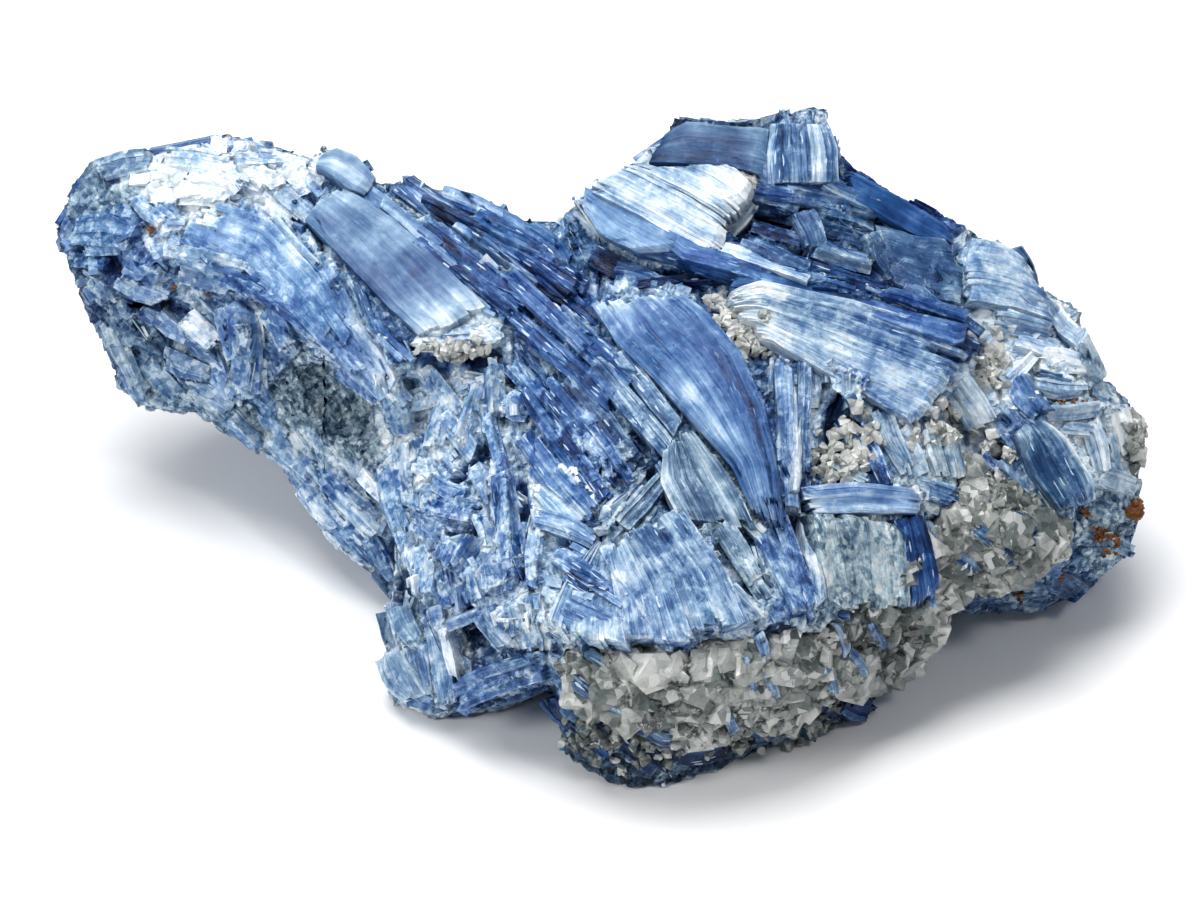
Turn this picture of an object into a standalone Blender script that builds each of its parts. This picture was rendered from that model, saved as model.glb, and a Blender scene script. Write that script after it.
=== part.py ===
"""Kyanite blade cluster: one loose specimen of blue kyanite blades grown through white quartz.

Run with blender --background --python part.py, or from Blender's text editor.

Frame: metres, +Z up, origin at the middle of the flat it rests on. +X runs along the length,
and the broad face with the best blades slopes up and back from -Y. Tables are in millimetres.
"""

import math
import random

import bmesh
import bpy
from mathutils import Matrix, Vector, noise
from mathutils.bvhtree import BVHTree

MM = 0.001

# Driving dimensions, in millimetres.
CENTRE = Vector((0.0, 6.2, 28.0))  # zero point of every side's u and v
FACE_TURN, FACE_RISE = 0.0, 38.0  # the sloping face looks to -Y, this many degrees above level
ROCK_GRAIN = 2.4  # size of the facets that join the lumps into one rock
ROCK_ROUGHNESS = 1.3  # how far the broken rock stands in and out of its lumps
ROCK_FACES = 1050  # triangles of the bare rock
BREAKS = ((11.0, 1.1), (4.5, 0.6))  # width of each size of break, and its share of the roughness
QUARTZ_GRAIN, QUARTZ_ROUGHNESS, QUARTZ_FACES = 1.8, 0.9, 520
SEAM = 0.45  # gap between the quartz and the kyanite around it
ROOT_DEPTH = 4.5  # how deep a blade is rooted in the rock
LATH_LEAN = 0.18  # how far a lath's ends lean, for each millimetre of its depth
LATH_CROWN = 0.84  # width of a lath's flat face, where its root is 1
LATH_OVERLAP = (1.02, 1.12)  # width of a lath, where its share of the blade is 1
LATH_DROP = 0.35  # the most that one lath of a blade lies below the next
LATH_STAGGER = 0.9  # the most that a lath stops short of its blade's end, in widths
PIT_RIM, PIT_TAPER = 8.0, 0.6  # how far a pit's cutter stands out, and how narrow its bottom is
OTHER_SIDES_STEP = 14.0  # spacing of the blades on the sides away from the face
CLEAR_OF_THE_ROCK = 100.0  # further out than any part of the rock

# The other sides: turn and rise (degrees), grid reach either way, and the blades' heading there.
OTHER_SIDES = {
    "back": (180.0, 25.0, 5, 2, 24.0),
    "right_end": (90.0, 15.0, 2, 2, -40.0),
    "left_end": (-90.0, 10.0, 2, 2, 50.0),
}
LEAST_TOWARD, MOST_TOWARD_FACE = 0.4, -0.25  # cosines between the rock there, its side and the face
REST_LEVEL = 0.0  # height of the flat that the specimen rests on

# The rock under the blades: convex lumps that run into each other, each by its corners (x, y, z).
LUMPS = {
    "left_end": [
        (-75, 42, 38), (-73.5, 46, 43), (-70.5, 48, 48), (-62, 45, 50.5), (-73, 34, 32),
        (-71.2, 30, 28), (-66.8, 28, 21), (-61, 29, 15), (-73, 50, 30), (-66, 56, 37),
        (-60, 58, 28), (-62, 46, 12), (-66, 31, 40), (-58, 30, 43),
    ],
    "left_lobe": [
        (-60, 46, 49.5), (-53, 47, 52), (-45, 46, 52), (-36, 42, 51), (-30, 39, 49),
        (-59, 30, 44), (-46, 26, 41), (-36, 19, 37), (-60, 29, 18), (-50, 29, 17),
        (-45, 27, 11), (-58, 57, 30), (-50, 59, 39), (-38, 54, 39), (-55, 55, 12),
        (-35, 52, 6), (-38, 24, 8),
    ],
    "middle": [
        (-14, 34, 44), (-3, 31, 41), (4, 29, 43), (-14, 10, 37), (-4, 9, 40), (6, 11, 45),
        (12, 22, 46), (-8, 47, 22), (8, 52, 24), (-10, 10, 6), (8, 12, 8), (0, 48, 4),
    ],
    "saddle": [
        (-36, 39, 49), (-23, 39, 50), (-15, 37, 48), (-6, 33, 43.5), (-36, 20, 35),
        (-24, 12, 32), (-8, 10, 36), (-36, 24, 6), (-30, 13, 5), (-30, 50, 34),
        (-12, 47, 28), (-6, 46, 8), (-32, 48, 2), (-10, 8, 4),
    ],
    "centre": [
        (-26, 6, 28), (-10, 10, 38), (2, 11, 45), (15, 13, 47), (36, 14, 44),
        (-25, -14, 20), (-12, -28, 25), (8, -35, 28), (27, -30, 27), (41, -18, 22),
        (48, 2, 34), (-24, 28, -3), (42, 36, -3), (-24, 0, -3), (0, -8, -3), (36, -14, -3),
    ],
    "foot": [
        (-30, -9, 9), (-29, -14, -3), (-26, -16, -3), (-18, -16, -3), (-10, -14, -3),
        (-12, -22, 14), (-26, -18, 12), (-29, -2, 12), (-9, -25, 19),
        (-25, 24, -3), (0, 20, -3), (-24, 18, 24),
    ],
    "underside": [
        (-5, -25, -3), (0, -30, -3), (6, -33, -3), (22, -24, -3), (36, -17, -3),
        (-6, -28, 8), (6, -34, 6), (24, -27, 8), (40, -16, 8), (-6, -30, 20), (10, -33, 20),
        (30, -26, 20), (0, 12, -3), (34, 20, -3), (10, 0, 30),
    ],
    "crown": [
        (7, 35, 54), (10, 38, 59), (21, 38, 59), (24, 40, 61), (31, 40, 61), (34, 37, 54),
        (-5, 31, 49.5), (-3, 33, 52), (1, 35, 54), (6, 35, 54), (3, 17, 42), (20, 14, 44), (36, 18, 45),
        (12, 53, 45), (30, 54, 45), (36, 50, 38), (2, 52, 26), (4, 56, -3),
        (40, 55, -3), (0, 20, 10), (40, 20, 10),
    ],
    "right_shoulder": [
        (32, 38, 52), (45, 33, 43.5), (54, 36, 42.5), (59, 35, 40), (67, 28, 34.5),
        (38, 14, 42), (52, 8, 36), (62, 10, 30), (44, 50, 30), (60, 45, 22),
        (48, 48, -3), (58, 40, -1), (40, 10, 0), (34, 52, 34),
    ],
    "right_lobe": [
        (75, 11, 16), (75, 18, 22), (71, 22, 29), (74.5, 6, 10), (62, 3, 1), (71, 14, 4),
        (46, -4, 7), (52, -9, 24), (63, -5, 22), (57, 6, 34), (65, 10, 30),
        (68, 33, 20), (71, 24, 8), (60, 36, 2), (44, 20, -3), (46, 2, 2), (40, -10, 26),
    ],
    "under_left": [
        (-43, 23, 8), (-40, 17, 7), (-36, 12, 5), (-31, 7, 3), (-44, 26, 28), (-38, 22, 32),
        (-26, 8, 26), (-22, 12, -3), (-28, 40, 2), (-44, 40, 7),
    ],
    "slab_ledge": [
        (-37, 36, 48), (-31, 38, 49.5), (-10, 23, 44.5), (-11, 12, 40.5), (-22, 9, 39),
        (-30, 11, 39.5), (-36, 26, 43.5), (-35, 38, 41), (-12, 24, 36), (-13, 15, 35),
        (-23, 13, 34), (-31, 16, 35),
    ],
}

# Quartz that fills the front of the cluster under its ledge and shows between the right-hand blades.
QUARTZ_LUMPS = {
    "under_ledge": [
        (-5, -32, 22), (8, -36, 25), (27, -32, 24.5), (9, -35, 9), (-3, -32, 14),
        (23, -29.5, 8), (31, -27, 12), (-4, -22, 20), (28, -18, 22), (8, -20, 10),
        (26, -18, 10),
    ],
    "below_block": [
        (27, -30, 22), (30, -29, 15), (36, -24, 8), (42, -18, 8), (46, -16, 14), (48, -13, 22),
        (47, -10, 28), (42, -8, 8), (30, -14, 18), (30, -10, 26),
    ],
    "right_pocket": [
        (43, -12, 27), (50, -8, 30), (58, -9, 25), (65, -5, 21), (56, -11, 18),
        (46, -14, 17), (48, 2, 20), (60, 2, 16), (52, 4, 30),
    ],
}

# Pits in the sloping face: outline (u, v) and depth.
PITS = {
    "side_recess": ([(-45, 12), (-40, 14), (-33, 10), (-29.5, 5), (-30, -1), (-36, 0), (-43, 4)], 4.5),
    "under_slab": ([(-26, 14.5), (-22, 11.2), (-13, 11.6), (-11, 13), (-20, 13.4)], 6.0),
    "left_hollow": ([(-66, 20.4), (-61, 21), (-59.6, 19.4), (-64, 19)], 4.0),
    "foot_hollow": ([(-20.4, -25), (-17, -22.6), (-13, -25.6), (-11, -28), (-19, -28.6)], 5.0),
    "crown_cleft": ([(19, 33.6), (27, 33.2), (27.6, 29.6), (21, 30)], 4.0),
    "below_crown": ([(5, 24.4), (12, 25), (18, 23.4), (13, 22.6), (6, 22.8)], 5.0),
    "right_hollow": ([(51.4, -0.4), (54.2, 2.6), (55.6, 0.2), (54, -1.8)], 5.0),
}

# Broad blades and slabs of the sloping face: outline (u, v) and height above the rock.
SLABS = {
    "fan": ([
        (0.6, 20.6), (2.4, 22.0), (8.0, 22.2), (12.2, 20.7), (14.6, 18.8), (18.0, 13.4),
        (20.8, 10.0), (22.6, 4.0), (24.0, -4.0), (24.4, -8.6), (21.4, -9.2), (18.6, -3.0),
        (15.4, 1.0), (9.4, 8.6), (4.2, 14.2),
    ], 2.4),
    "flat_blade": ([
        (16.6, 20.8), (21.0, 22.4), (34.0, 19.4), (51.4, 14.0), (51.0, 10.6), (47.6, 7.2),
        (45.6, 4.2), (36.6, 8.6), (28.0, 12.6), (22.6, 15.6),
    ], 2.0),
    "crown_slab": ([
        (-3.2, 33.6), (-2.0, 35.4), (0.2, 37.6), (10.0, 38.9), (17.8, 38.6), (18.8, 34.4),
        (16.6, 29.4), (9.6, 28.2), (1.6, 28.0), (-1.0, 30.4),
    ], 2.4),
    "grey_slab": ([
        (-39.8, 36.6), (-36.4, 38.6), (-22.0, 29.8), (-12.4, 17.8), (-13.0, 13.8), (-22.0, 12.6),
        (-30.0, 14.8), (-36.0, 24.0),
    ], 1.2),
    "right_blade": ([
        (56.0, 3.8), (59.6, 3.9), (62.6, 2.0), (65.2, -0.6), (66.4, -4.0), (66.2, -7.4),
        (63.0, -7.6), (58.6, -4.0),
    ], 2.4),
    "saturated_blade": ([
        (33.4, 37.4), (34.8, 37.6), (46.6, 30.4), (47.0, 28.6), (45.0, 27.0), (41.4, 27.4),
        (39.2, 29.6), (36.4, 32.6),
    ], 1.6),
    "block_top": ([
        (26.6, -7.4), (28.6, -5.0), (42.6, -5.2), (43.8, -7.2), (41.2, -8.8), (29.6, -8.8),
    ], 2.4),
    "pale_flap": ([(29.4, 10.6), (33.0, 11.0), (36.4, 8.4), (34.6, 4.4), (30.8, 6.4)], 3.0),
}

# The blades of the sloping face, region by region: start (u, v), end (u, v), width, height
# that the flat face stands out of the rock, and the number of laths side by side.
BLADES = {
    "left_end": [
        ((-69.5, 38.6), (-62.0, 40.6), 3.4, 1.2, 1),
        ((-72.5, 29.5), (-63.5, 29.0), 5.0, 2.0, 1),
        ((-73.5, 32.5), (-66.0, 33.0), 3.0, 1.4, 1),
        ((-71.0, 21.5), (-61.0, 24.5), 3.0, 1.2, 1),
    ],
    "left_crumbly_top": [
        ((-60.0, 40.8), (-51.0, 39.6), 3.0, 1.2, 1),
        ((-57.5, 36.0), (-49.5, 34.8), 5.5, 2.0, 1),
        ((-50.0, 41.5), (-43.5, 41.5), 3.4, 1.6, 1),
        ((-47.5, 38.0), (-41.0, 33.5), 3.4, 1.4, 1),
        ((-39.6, 39.2), (-32.0, 36.0), 5.2, 2.6, 1),
        ((-61.0, 37.5), (-58.5, 29.5), 4.0, 1.2, 1),
    ],
    "left_ridge": [
        ((-57.0, 31.0), (-43.0, 25.0), 4.5, 1.6, 1),
        ((-51.0, 30.5), (-37.0, 19.0), 4.5, 1.8, 1),
        ((-48.0, 25.0), (-31.0, 11.5), 5.0, 2.2, 2),
        ((-48.5, 22.6), (-35.0, 13.4), 2.2, 2.4, 1),
        ((-39.5, 19.5), (-26.6, 5.8), 4.6, 1.8, 2),
        ((-45.5, 31.5), (-38.5, 24.0), 3.4, 1.6, 1),
        ((-41.0, 30.5), (-36.0, 21.0), 3.2, 2.0, 1),
        ((-37.5, 25.0), (-33.5, 16.5), 3.0, 1.4, 1),
    ],
    "grey_slab": [
        ((-40.0, 36.5), (-24.5, 24.0), 3.0, 1.2, 1),
        ((-38.0, 33.5), (-20.0, 18.0), 4.6, 1.6, 2),
        ((-31.0, 31.5), (-12.5, 16.2), 3.6, 2.2, 1),
        ((-33.0, 35.6), (-22.0, 27.5), 3.4, 2.0, 1),
    ],
    "long_parallel": [
        ((-27.5, 36.6), (-12.0, 25.8), 2.4, 2.0, 1),
        ((-13.0, 26.6), (-3.5, 20.2), 2.6, 2.2, 1),
        ((-25.5, 30.6), (-9.0, 17.8), 4.6, 2.6, 2),
        ((-24.0, 33.6), (-16.0, 28.4), 2.8, 1.4, 1),
        ((-17.5, 32.8), (-6.5, 27.2), 3.6, 2.0, 1),
        ((-15.0, 29.6), (-2.0, 21.8), 3.0, 2.4, 2),
        ((-12.5, 23.5), (-1.5, 13.5), 3.0, 1.6, 1),
        ((-11.5, 17.5), (2.0, 6.0), 3.0, 1.6, 2),
        ((-6.5, 19.5), (4.5, 9.0), 3.2, 1.2, 1),
    ],
    "left_side": [
        ((-68.0, 18.0), (-63.6, 8.2), 2.6, 1.6, 1),
        ((-65.2, 15.8), (-62.0, 15.2), 2.6, 1.4, 1),
        ((-61.0, 18.4), (-56.8, 15.4), 2.4, 1.2, 1),
        ((-57.0, 18.6), (-52.6, 14.6), 3.0, 1.8, 1),
        ((-58.5, 27.0), (-48.0, 24.4), 3.2, 1.6, 1),
        ((-66.5, 24.0), (-59.5, 20.6), 3.6, 1.6, 1),
        ((-49.2, 19.8), (-48.4, 6.8), 4.6, 2.6, 2),
        ((-45.6, 19.4), (-42.6, 14.2), 3.4, 1.4, 1),
        ((-60.5, 13.0), (-54.0, 10.4), 3.4, 1.4, 1),
    ],
    "lower_left": [
        ((-51.0, 5.2), (-46.4, 0.2), 1.8, 1.6, 1),
        ((-45.6, 2.0), (-39.8, -3.6), 2.4, 2.0, 1),
        ((-44.5, 0.4), (-37.0, -9.6), 3.0, 1.2, 1),
        ((-38.6, -3.2), (-29.4, -11.0), 3.2, 1.6, 1),
        ((-33.0, -3.0), (-29.4, -6.8), 1.8, 1.6, 1),
        ((-39.2, -6.4), (-33.4, -13.6), 3.2, 1.2, 1),
        ((-34.6, -9.2), (-30.0, -15.8), 3.4, 1.2, 1),
        ((-29.5, -2.0), (-26.5, -12.0), 3.6, 1.6, 1),
    ],
    "centre_left": [
        ((-29.0, 10.5), (-26.8, 2.0), 3.6, 1.6, 1),
        ((-26.5, 6.5), (-18.0, 9.0), 3.4, 1.4, 1),
        ((-27.6, 1.0), (-26.8, -5.5), 3.2, 1.4, 1),
        ((-15.8, 9.4), (-18.8, 0.4), 2.8, 1.6, 1),
        ((-19.8, 8.0), (-22.8, 0.0), 3.0, 1.2, 1),
        ((-15.4, 5.4), (-13.2, -3.6), 1.9, 2.2, 1),
        ((-12.6, -1.6), (-10.8, -17.2), 1.7, 2.8, 1),
        ((-14.2, -4.0), (-12.4, -17.0), 1.7, 2.2, 1),
        ((-13.9, 12.0), (-13.6, 4.4), 1.9, 2.0, 1),
        ((-12.4, 6.4), (-9.6, 5.2), 4.6, 1.8, 1),
        ((-26.6, -6.0), (-17.0, -8.6), 3.2, 1.8, 1),
        ((-26.0, -9.6), (-20.0, -12.0), 3.0, 1.6, 1),
        ((-19.6, -12.0), (-21.6, -15.4), 2.8, 1.6, 1),
        ((-16.2, -11.2), (-19.6, -16.6), 3.2, 2.0, 1),
        ((-25.6, -13.0), (-24.2, -19.4), 4.2, 1.8, 1),
        ((-14.2, -14.6), (-13.6, -19.4), 4.2, 2.0, 1),
        ((-12.6, -21.0), (-11.6, -25.2), 3.6, 2.2, 1),
        ((-9.4, -19.4), (-9.0, -27.0), 3.2, 2.0, 1),
        ((-8.4, -10.0), (-8.8, -18.6), 2.4, 1.4, 1),
    ],
    "centre": [
        ((-10.8, 9.2), (0.8, -6.8), 3.2, 1.6, 2),
        ((-7.6, 8.8), (3.2, -4.2), 3.6, 2.2, 2),
        ((-4.6, 10.4), (5.4, -2.4), 3.2, 1.6, 2),
        ((-1.0, 11.6), (9.6, -0.4), 3.2, 1.6, 2),
        ((-10.4, 2.0), (-0.8, -8.6), 3.4, 1.2, 1),
        ((-8.6, -9.0), (-0.6, -12.2), 3.0, 1.4, 1),
        ((0.6, -12.0), (9.6, 0.6), 2.2, 2.0, 1),
        ((-5.6, -13.4), (3.6, -19.6), 4.4, 1.2, 1),
        ((-4.6, -16.4), (0.6, -19.2), 2.2, 1.6, 1),
        ((-5.0, -21.0), (4.8, -24.6), 4.6, 1.6, 1),
    ],
    "radiating": [
        ((8.6, 0.2), (12.8, -8.4), 3.0, 1.4, 1),
        ((11.4, 1.4), (17.6, -9.2), 3.2, 1.6, 1),
        ((13.8, -0.8), (20.8, -10.4), 3.6, 1.8, 1),
        ((1.4, -13.4), (8.8, -24.4), 3.4, 1.8, 2),
        ((4.8, -11.0), (11.6, -24.8), 3.4, 2.0, 1),
        ((9.0, -10.2), (13.2, -24.4), 3.4, 2.2, 2),
        ((12.8, -10.6), (16.6, -23.6), 3.2, 2.0, 1),
        ((16.2, -9.8), (20.8, -17.6), 3.4, 1.6, 1),
        ((16.6, -18.4), (21.0, -22.8), 3.4, 1.4, 1),
    ],
    "foot": [
        ((-22.6, -21.0), (-20.6, -34.4), 2.8, 2.0, 2),
        ((-19.6, -33.4), (-7.2, -28.6), 4.6, 2.4, 2),
        ((-27.6, -20.6), (-24.4, -26.4), 3.4, 1.6, 1),
        ((-28.6, -27.4), (-24.6, -33.6), 4.6, 1.8, 1),
        ((-20.8, -23.8), (-16.0, -21.8), 1.8, 2.0, 1),
        ((-16.4, -21.8), (-12.4, -26.4), 2.4, 1.4, 1),
    ],
    "fan_ribs": [
        ((4.2, 20.6), (15.6, 2.6), 2.4, 3.4, 1),
        ((8.2, 21.0), (19.6, -3.0), 2.6, 3.8, 1),
        ((11.6, 19.6), (22.6, -7.6), 2.6, 3.2, 1),
        ((21.4, -8.8), (27.4, -22.0), 5.6, 2.4, 2),
    ],
    "uprights": [
        ((24.6, 11.6), (25.4, -8.6), 2.8, 2.6, 1),
        ((27.6, 13.6), (27.2, -4.0), 2.2, 2.0, 1),
        ((34.6, 3.6), (38.6, -5.0), 2.6, 1.2, 1),
    ],
    "flat_blade": [
        ((17.6, 21.2), (51.2, 12.6), 3.2, 2.9, 1),
        ((21.0, 17.6), (47.4, 6.8), 3.0, 2.9, 1),
        ((48.2, 9.2), (52.2, 3.0), 4.8, 1.4, 1),
    ],
    "dark_ridge": [
        ((14.0, 25.6), (34.0, 21.0), 2.6, 3.4, 1),
        ((32.0, 21.4), (51.2, 15.4), 2.8, 3.4, 1),
        ((4.6, 27.6), (15.6, 24.8), 2.6, 2.2, 1),
        ((16.6, 27.6), (28.4, 23.4), 1.8, 2.6, 1),
        ((17.4, 22.0), (24.0, 22.6), 2.8, 1.6, 1),
    ],
    "crown": [
        ((9.4, 43.4), (21.6, 42.6), 4.6, 2.2, 1),
        ((6.8, 40.2), (18.4, 39.4), 3.0, 1.4, 1),
        ((17.2, 43.4), (24.6, 36.8), 4.0, 2.0, 1),
        ((25.6, 45.8), (25.4, 36.6), 3.2, 2.2, 1),
        ((29.2, 46.0), (29.4, 36.4), 3.4, 2.6, 1),
        ((32.0, 44.8), (32.4, 38.0), 2.2, 1.6, 1),
        ((-2.2, 36.4), (18.6, 32.6), 3.6, 2.8, 1),
        ((18.6, 36.0), (27.0, 34.6), 2.2, 1.8, 1),
        ((25.2, 34.8), (38.4, 32.6), 2.4, 1.8, 1),
        ((27.4, 32.6), (29.6, 27.6), 3.4, 1.4, 1),
        ((29.6, 30.4), (38.0, 27.8), 2.2, 1.6, 1),
        ((29.2, 27.4), (37.0, 24.8), 2.2, 1.8, 1),
        ((19.4, 28.8), (28.6, 24.6), 2.4, 1.6, 1),
    ],
    "right_shoulder": [
        ((33.2, 36.4), (45.0, 29.6), 2.8, 1.8, 1),
        ((41.4, 26.0), (47.0, 21.4), 5.0, 1.8, 1),
        ((49.6, 27.8), (50.2, 20.4), 3.2, 1.2, 1),
        ((53.0, 27.4), (57.4, 24.6), 4.4, 1.6, 1),
        ((52.0, 21.2), (60.4, 19.4), 3.2, 1.2, 1),
        ((54.0, 17.6), (61.6, 16.0), 3.2, 1.4, 1),
    ],
    "right_lobe": [
        ((56.4, 9.6), (60.2, 4.4), 3.2, 2.0, 1),
        ((58.6, 8.8), (66.6, 8.2), 2.6, 1.6, 1),
        ((60.6, 5.0), (68.6, 5.8), 2.2, 1.4, 1),
        ((56.6, 3.2), (64.4, -7.2), 4.2, 2.6, 2),
        ((55.6, 9.4), (59.2, 12.8), 1.8, 1.4, 1),
        ((60.0, 12.4), (66.6, 11.6), 4.0, 1.4, 1),
        ((65.6, 15.4), (69.0, 9.4), 2.6, 1.2, 1),
        ((66.6, 4.0), (68.6, -3.0), 3.4, 1.4, 1),
        ((71.0, 5.6), (72.6, -0.6), 3.0, 1.8, 1),
        ((68.0, -3.4), (73.6, -5.4), 3.6, 1.4, 1),
        ((67.6, -8.6), (73.4, -8.4), 3.6, 1.4, 1),
        ((69.6, -12.6), (73.2, -14.0), 2.4, 1.4, 1),
    ],
    "lower_right": [
        ((30.6, -9.4), (31.6, -21.6), 4.2, 1.4, 1),
        ((35.0, -9.4), (36.2, -21.8), 4.2, 1.6, 1),
        ((39.0, -9.4), (40.4, -21.4), 3.6, 1.4, 1),
        ((42.0, -9.6), (44.4, -21.6), 2.2, 1.8, 1),
        ((57.0, -13.6), (63.0, -16.2), 3.6, 1.4, 1),
        ((60.4, -17.0), (66.6, -20.2), 3.6, 1.4, 1),
        ((-2.6, -36.2), (1.8, -40.6), 3.2, 1.4, 1),
        ((2.6, -38.0), (8.4, -43.4), 3.4, 1.2, 1),
        ((33.0, -34.0), (36.6, -35.6), 3.6, 1.2, 1),
    ],
}


def side_axes(turn, rise):
    """Along, up and outward directions of a side turned from -Y and rising above level (degrees)."""
    turned = Matrix.Rotation(math.radians(turn), 3, "Z")
    lean = math.radians(rise)
    return (
        turned @ Vector((1.0, 0.0, 0.0)),
        turned @ Vector((0.0, math.sin(lean), math.cos(lean))),
        turned @ Vector((0.0, -math.cos(lean), math.sin(lean))),
    )


def clear_scene():
    for obj in list(bpy.data.objects):
        bpy.data.objects.remove(obj, do_unlink=True)


def object_from_bmesh(name, shape):
    mesh = bpy.data.meshes.new(name)
    shape.to_mesh(mesh)
    shape.free()
    obj = bpy.data.objects.new(name, mesh)
    bpy.context.scene.collection.objects.link(obj)
    return obj


def add_hull(shape, corners):
    """Adds the convex lump around these corners (mm) to a bmesh in metres."""
    points = [shape.verts.new(Vector(corner) * MM) for corner in corners]
    made = bmesh.ops.convex_hull(shape, input=points)
    unused = [v for v in made["geom_unused"] if isinstance(v, bmesh.types.BMVert)]
    inside = [v for v in made["geom_interior"] if isinstance(v, bmesh.types.BMVert)]
    bmesh.ops.delete(shape, geom=list(set(unused + inside)), context="VERTS")


def apply_modifiers(obj):
    graph = bpy.context.evaluated_depsgraph_get()
    mesh = bpy.data.meshes.new_from_object(obj.evaluated_get(graph))
    obj.modifiers.clear()
    obj.data = mesh


def broken_rock(name, lumps, grain, roughness, faces, seed):
    """Fuses lumps into one body, breaks its surface and leaves that many flat faces."""
    shape = bmesh.new()
    for corners in lumps.values():
        add_hull(shape, corners)
    rock = object_from_bmesh(name, shape)
    remesh = rock.modifiers.new("fuse", "REMESH")
    remesh.mode = "VOXEL"
    remesh.voxel_size = grain * MM
    apply_modifiers(rock)
    offset = Vector((seed, 0.0, 0.0))
    for vertex, normal in [(v, v.normal.copy()) for v in rock.data.vertices]:
        place = vertex.co / MM
        swell = sum(share * noise.noise(place / size + offset) for size, share in BREAKS)
        vertex.co += normal * (roughness * swell * MM)
    decimate = rock.modifiers.new("facets", "DECIMATE")
    rock.data.calc_loop_triangles()
    decimate.ratio = faces / len(rock.data.loop_triangles)
    apply_modifiers(rock)
    return rock


def level_base(rock):
    """Cuts the rock flat where it rests."""
    shape = bmesh.new()
    shape.from_mesh(rock.data)
    cut = bmesh.ops.bisect_plane(
        shape, geom=shape.verts[:] + shape.edges[:] + shape.faces[:],
        plane_co=(0.0, 0.0, REST_LEVEL * MM), plane_no=(0.0, 0.0, -1.0), clear_outer=True,
    )
    rim = [edge for edge in cut["geom_cut"] if isinstance(edge, bmesh.types.BMEdge)]
    bmesh.ops.holes_fill(shape, edges=rim)
    shape.to_mesh(rock.data)
    shape.free()


def keep_outer_skin(obj):
    """Drops closed pockets and loose chips: what stays is the one largest connected skin."""
    shape = bmesh.new()
    shape.from_mesh(obj.data)
    unseen = set(shape.verts)
    skins = []
    while unseen:
        skin, edge_of_skin = set(), [unseen.pop()]
        while edge_of_skin:
            vertex = edge_of_skin.pop()
            skin.add(vertex)
            for edge in vertex.link_edges:
                other = edge.other_vert(vertex)
                if other in unseen:
                    unseen.discard(other)
                    edge_of_skin.append(other)
        skins.append(skin)
    largest = max(skins, key=len)
    loose = [vertex for skin in skins if skin is not largest for vertex in skin]
    bmesh.ops.delete(shape, geom=loose, context="VERTS")
    shape.to_mesh(obj.data)
    shape.free()


def surface_finder(rock):
    shape = bmesh.new()
    shape.from_mesh(rock.data)
    tree = BVHTree.FromBMesh(shape)
    shape.free()
    return tree


def on_surface(tree, side, u, v):
    """The rock's point (m) that shows at u, v when that side is looked at straight on."""
    along, up, out = side
    level = (CENTRE + along * u + up * v) * MM
    hit = tree.ray_cast(level + out * CLEAR_OF_THE_ROCK * MM, -out)[0]
    return hit if hit is not None else tree.find_nearest(level)[0]


def lath(start, end, outward, width, height, skew, tilt):
    """One blade: a flat-topped lath with oblique ends, rooted in the rock.

    start and end lie on the rock; height is how far its flat face stands above them.
    """
    shape = bmesh.new()
    along = (end - start).normalized()
    side = along.cross(outward).normalized()
    outward = side.cross(along).normalized()
    half = 0.5 * width
    rows = []
    for place, sign in ((start, -1.0), (end, 1.0)):
        top = place + outward * height
        root = place - outward * ROOT_DEPTH * MM
        lean = along * (sign * LATH_LEAN * (height + ROOT_DEPTH * MM))
        crown = side * half * LATH_CROWN
        turn = (along * skew - outward * tilt) * width
        rows.append([
            root - side * half - lean,
            root + side * half - lean,
            top + crown + turn,
            top - crown - turn,
        ])
    corners = [[shape.verts.new(point) for point in row] for row in rows]
    for i in range(4):
        j = (i + 1) % 4
        shape.faces.new((corners[0][i], corners[0][j], corners[1][j], corners[1][i]))
    shape.faces.new(corners[0][::-1])
    shape.faces.new(corners[1])
    bmesh.ops.recalc_face_normals(shape, faces=shape.faces[:])
    return shape


def slab(tree, side, outline, height, depth, flare=1.0):
    """A plate with this outline: its top lies in one plane, height above the rock on average.

    Its foot is depth below the rock and flare times as wide, so a pit tapers and a slab does not.
    """
    feet = [on_surface(tree, side, u, v) for u, v in outline]
    middle = sum(feet, Vector()) / len(feet)
    normal = Vector()
    for here, after in zip(feet, feet[1:] + feet[:1]):
        normal += (here - middle).cross(after - middle)
    normal.normalize()
    if normal.dot(side[2]) < 0.0:
        normal.negate()
    shape = bmesh.new()
    rims = []
    for level, spread in ((height * MM, 1.0), (-depth * MM, flare)):
        flat = [foot - normal * (foot - middle).dot(normal) for foot in feet]
        rims.append([
            shape.verts.new(middle + (point - middle) * spread + normal * level)
            for point in flat
        ])
    count = len(outline)
    for i in range(count):
        j = (i + 1) % count
        shape.faces.new((rims[0][i], rims[0][j], rims[1][j], rims[1][i]))
    shape.faces.new(rims[0])
    shape.faces.new(rims[1][::-1])
    bmesh.ops.recalc_face_normals(shape, faces=shape.faces[:])
    return shape


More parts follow.
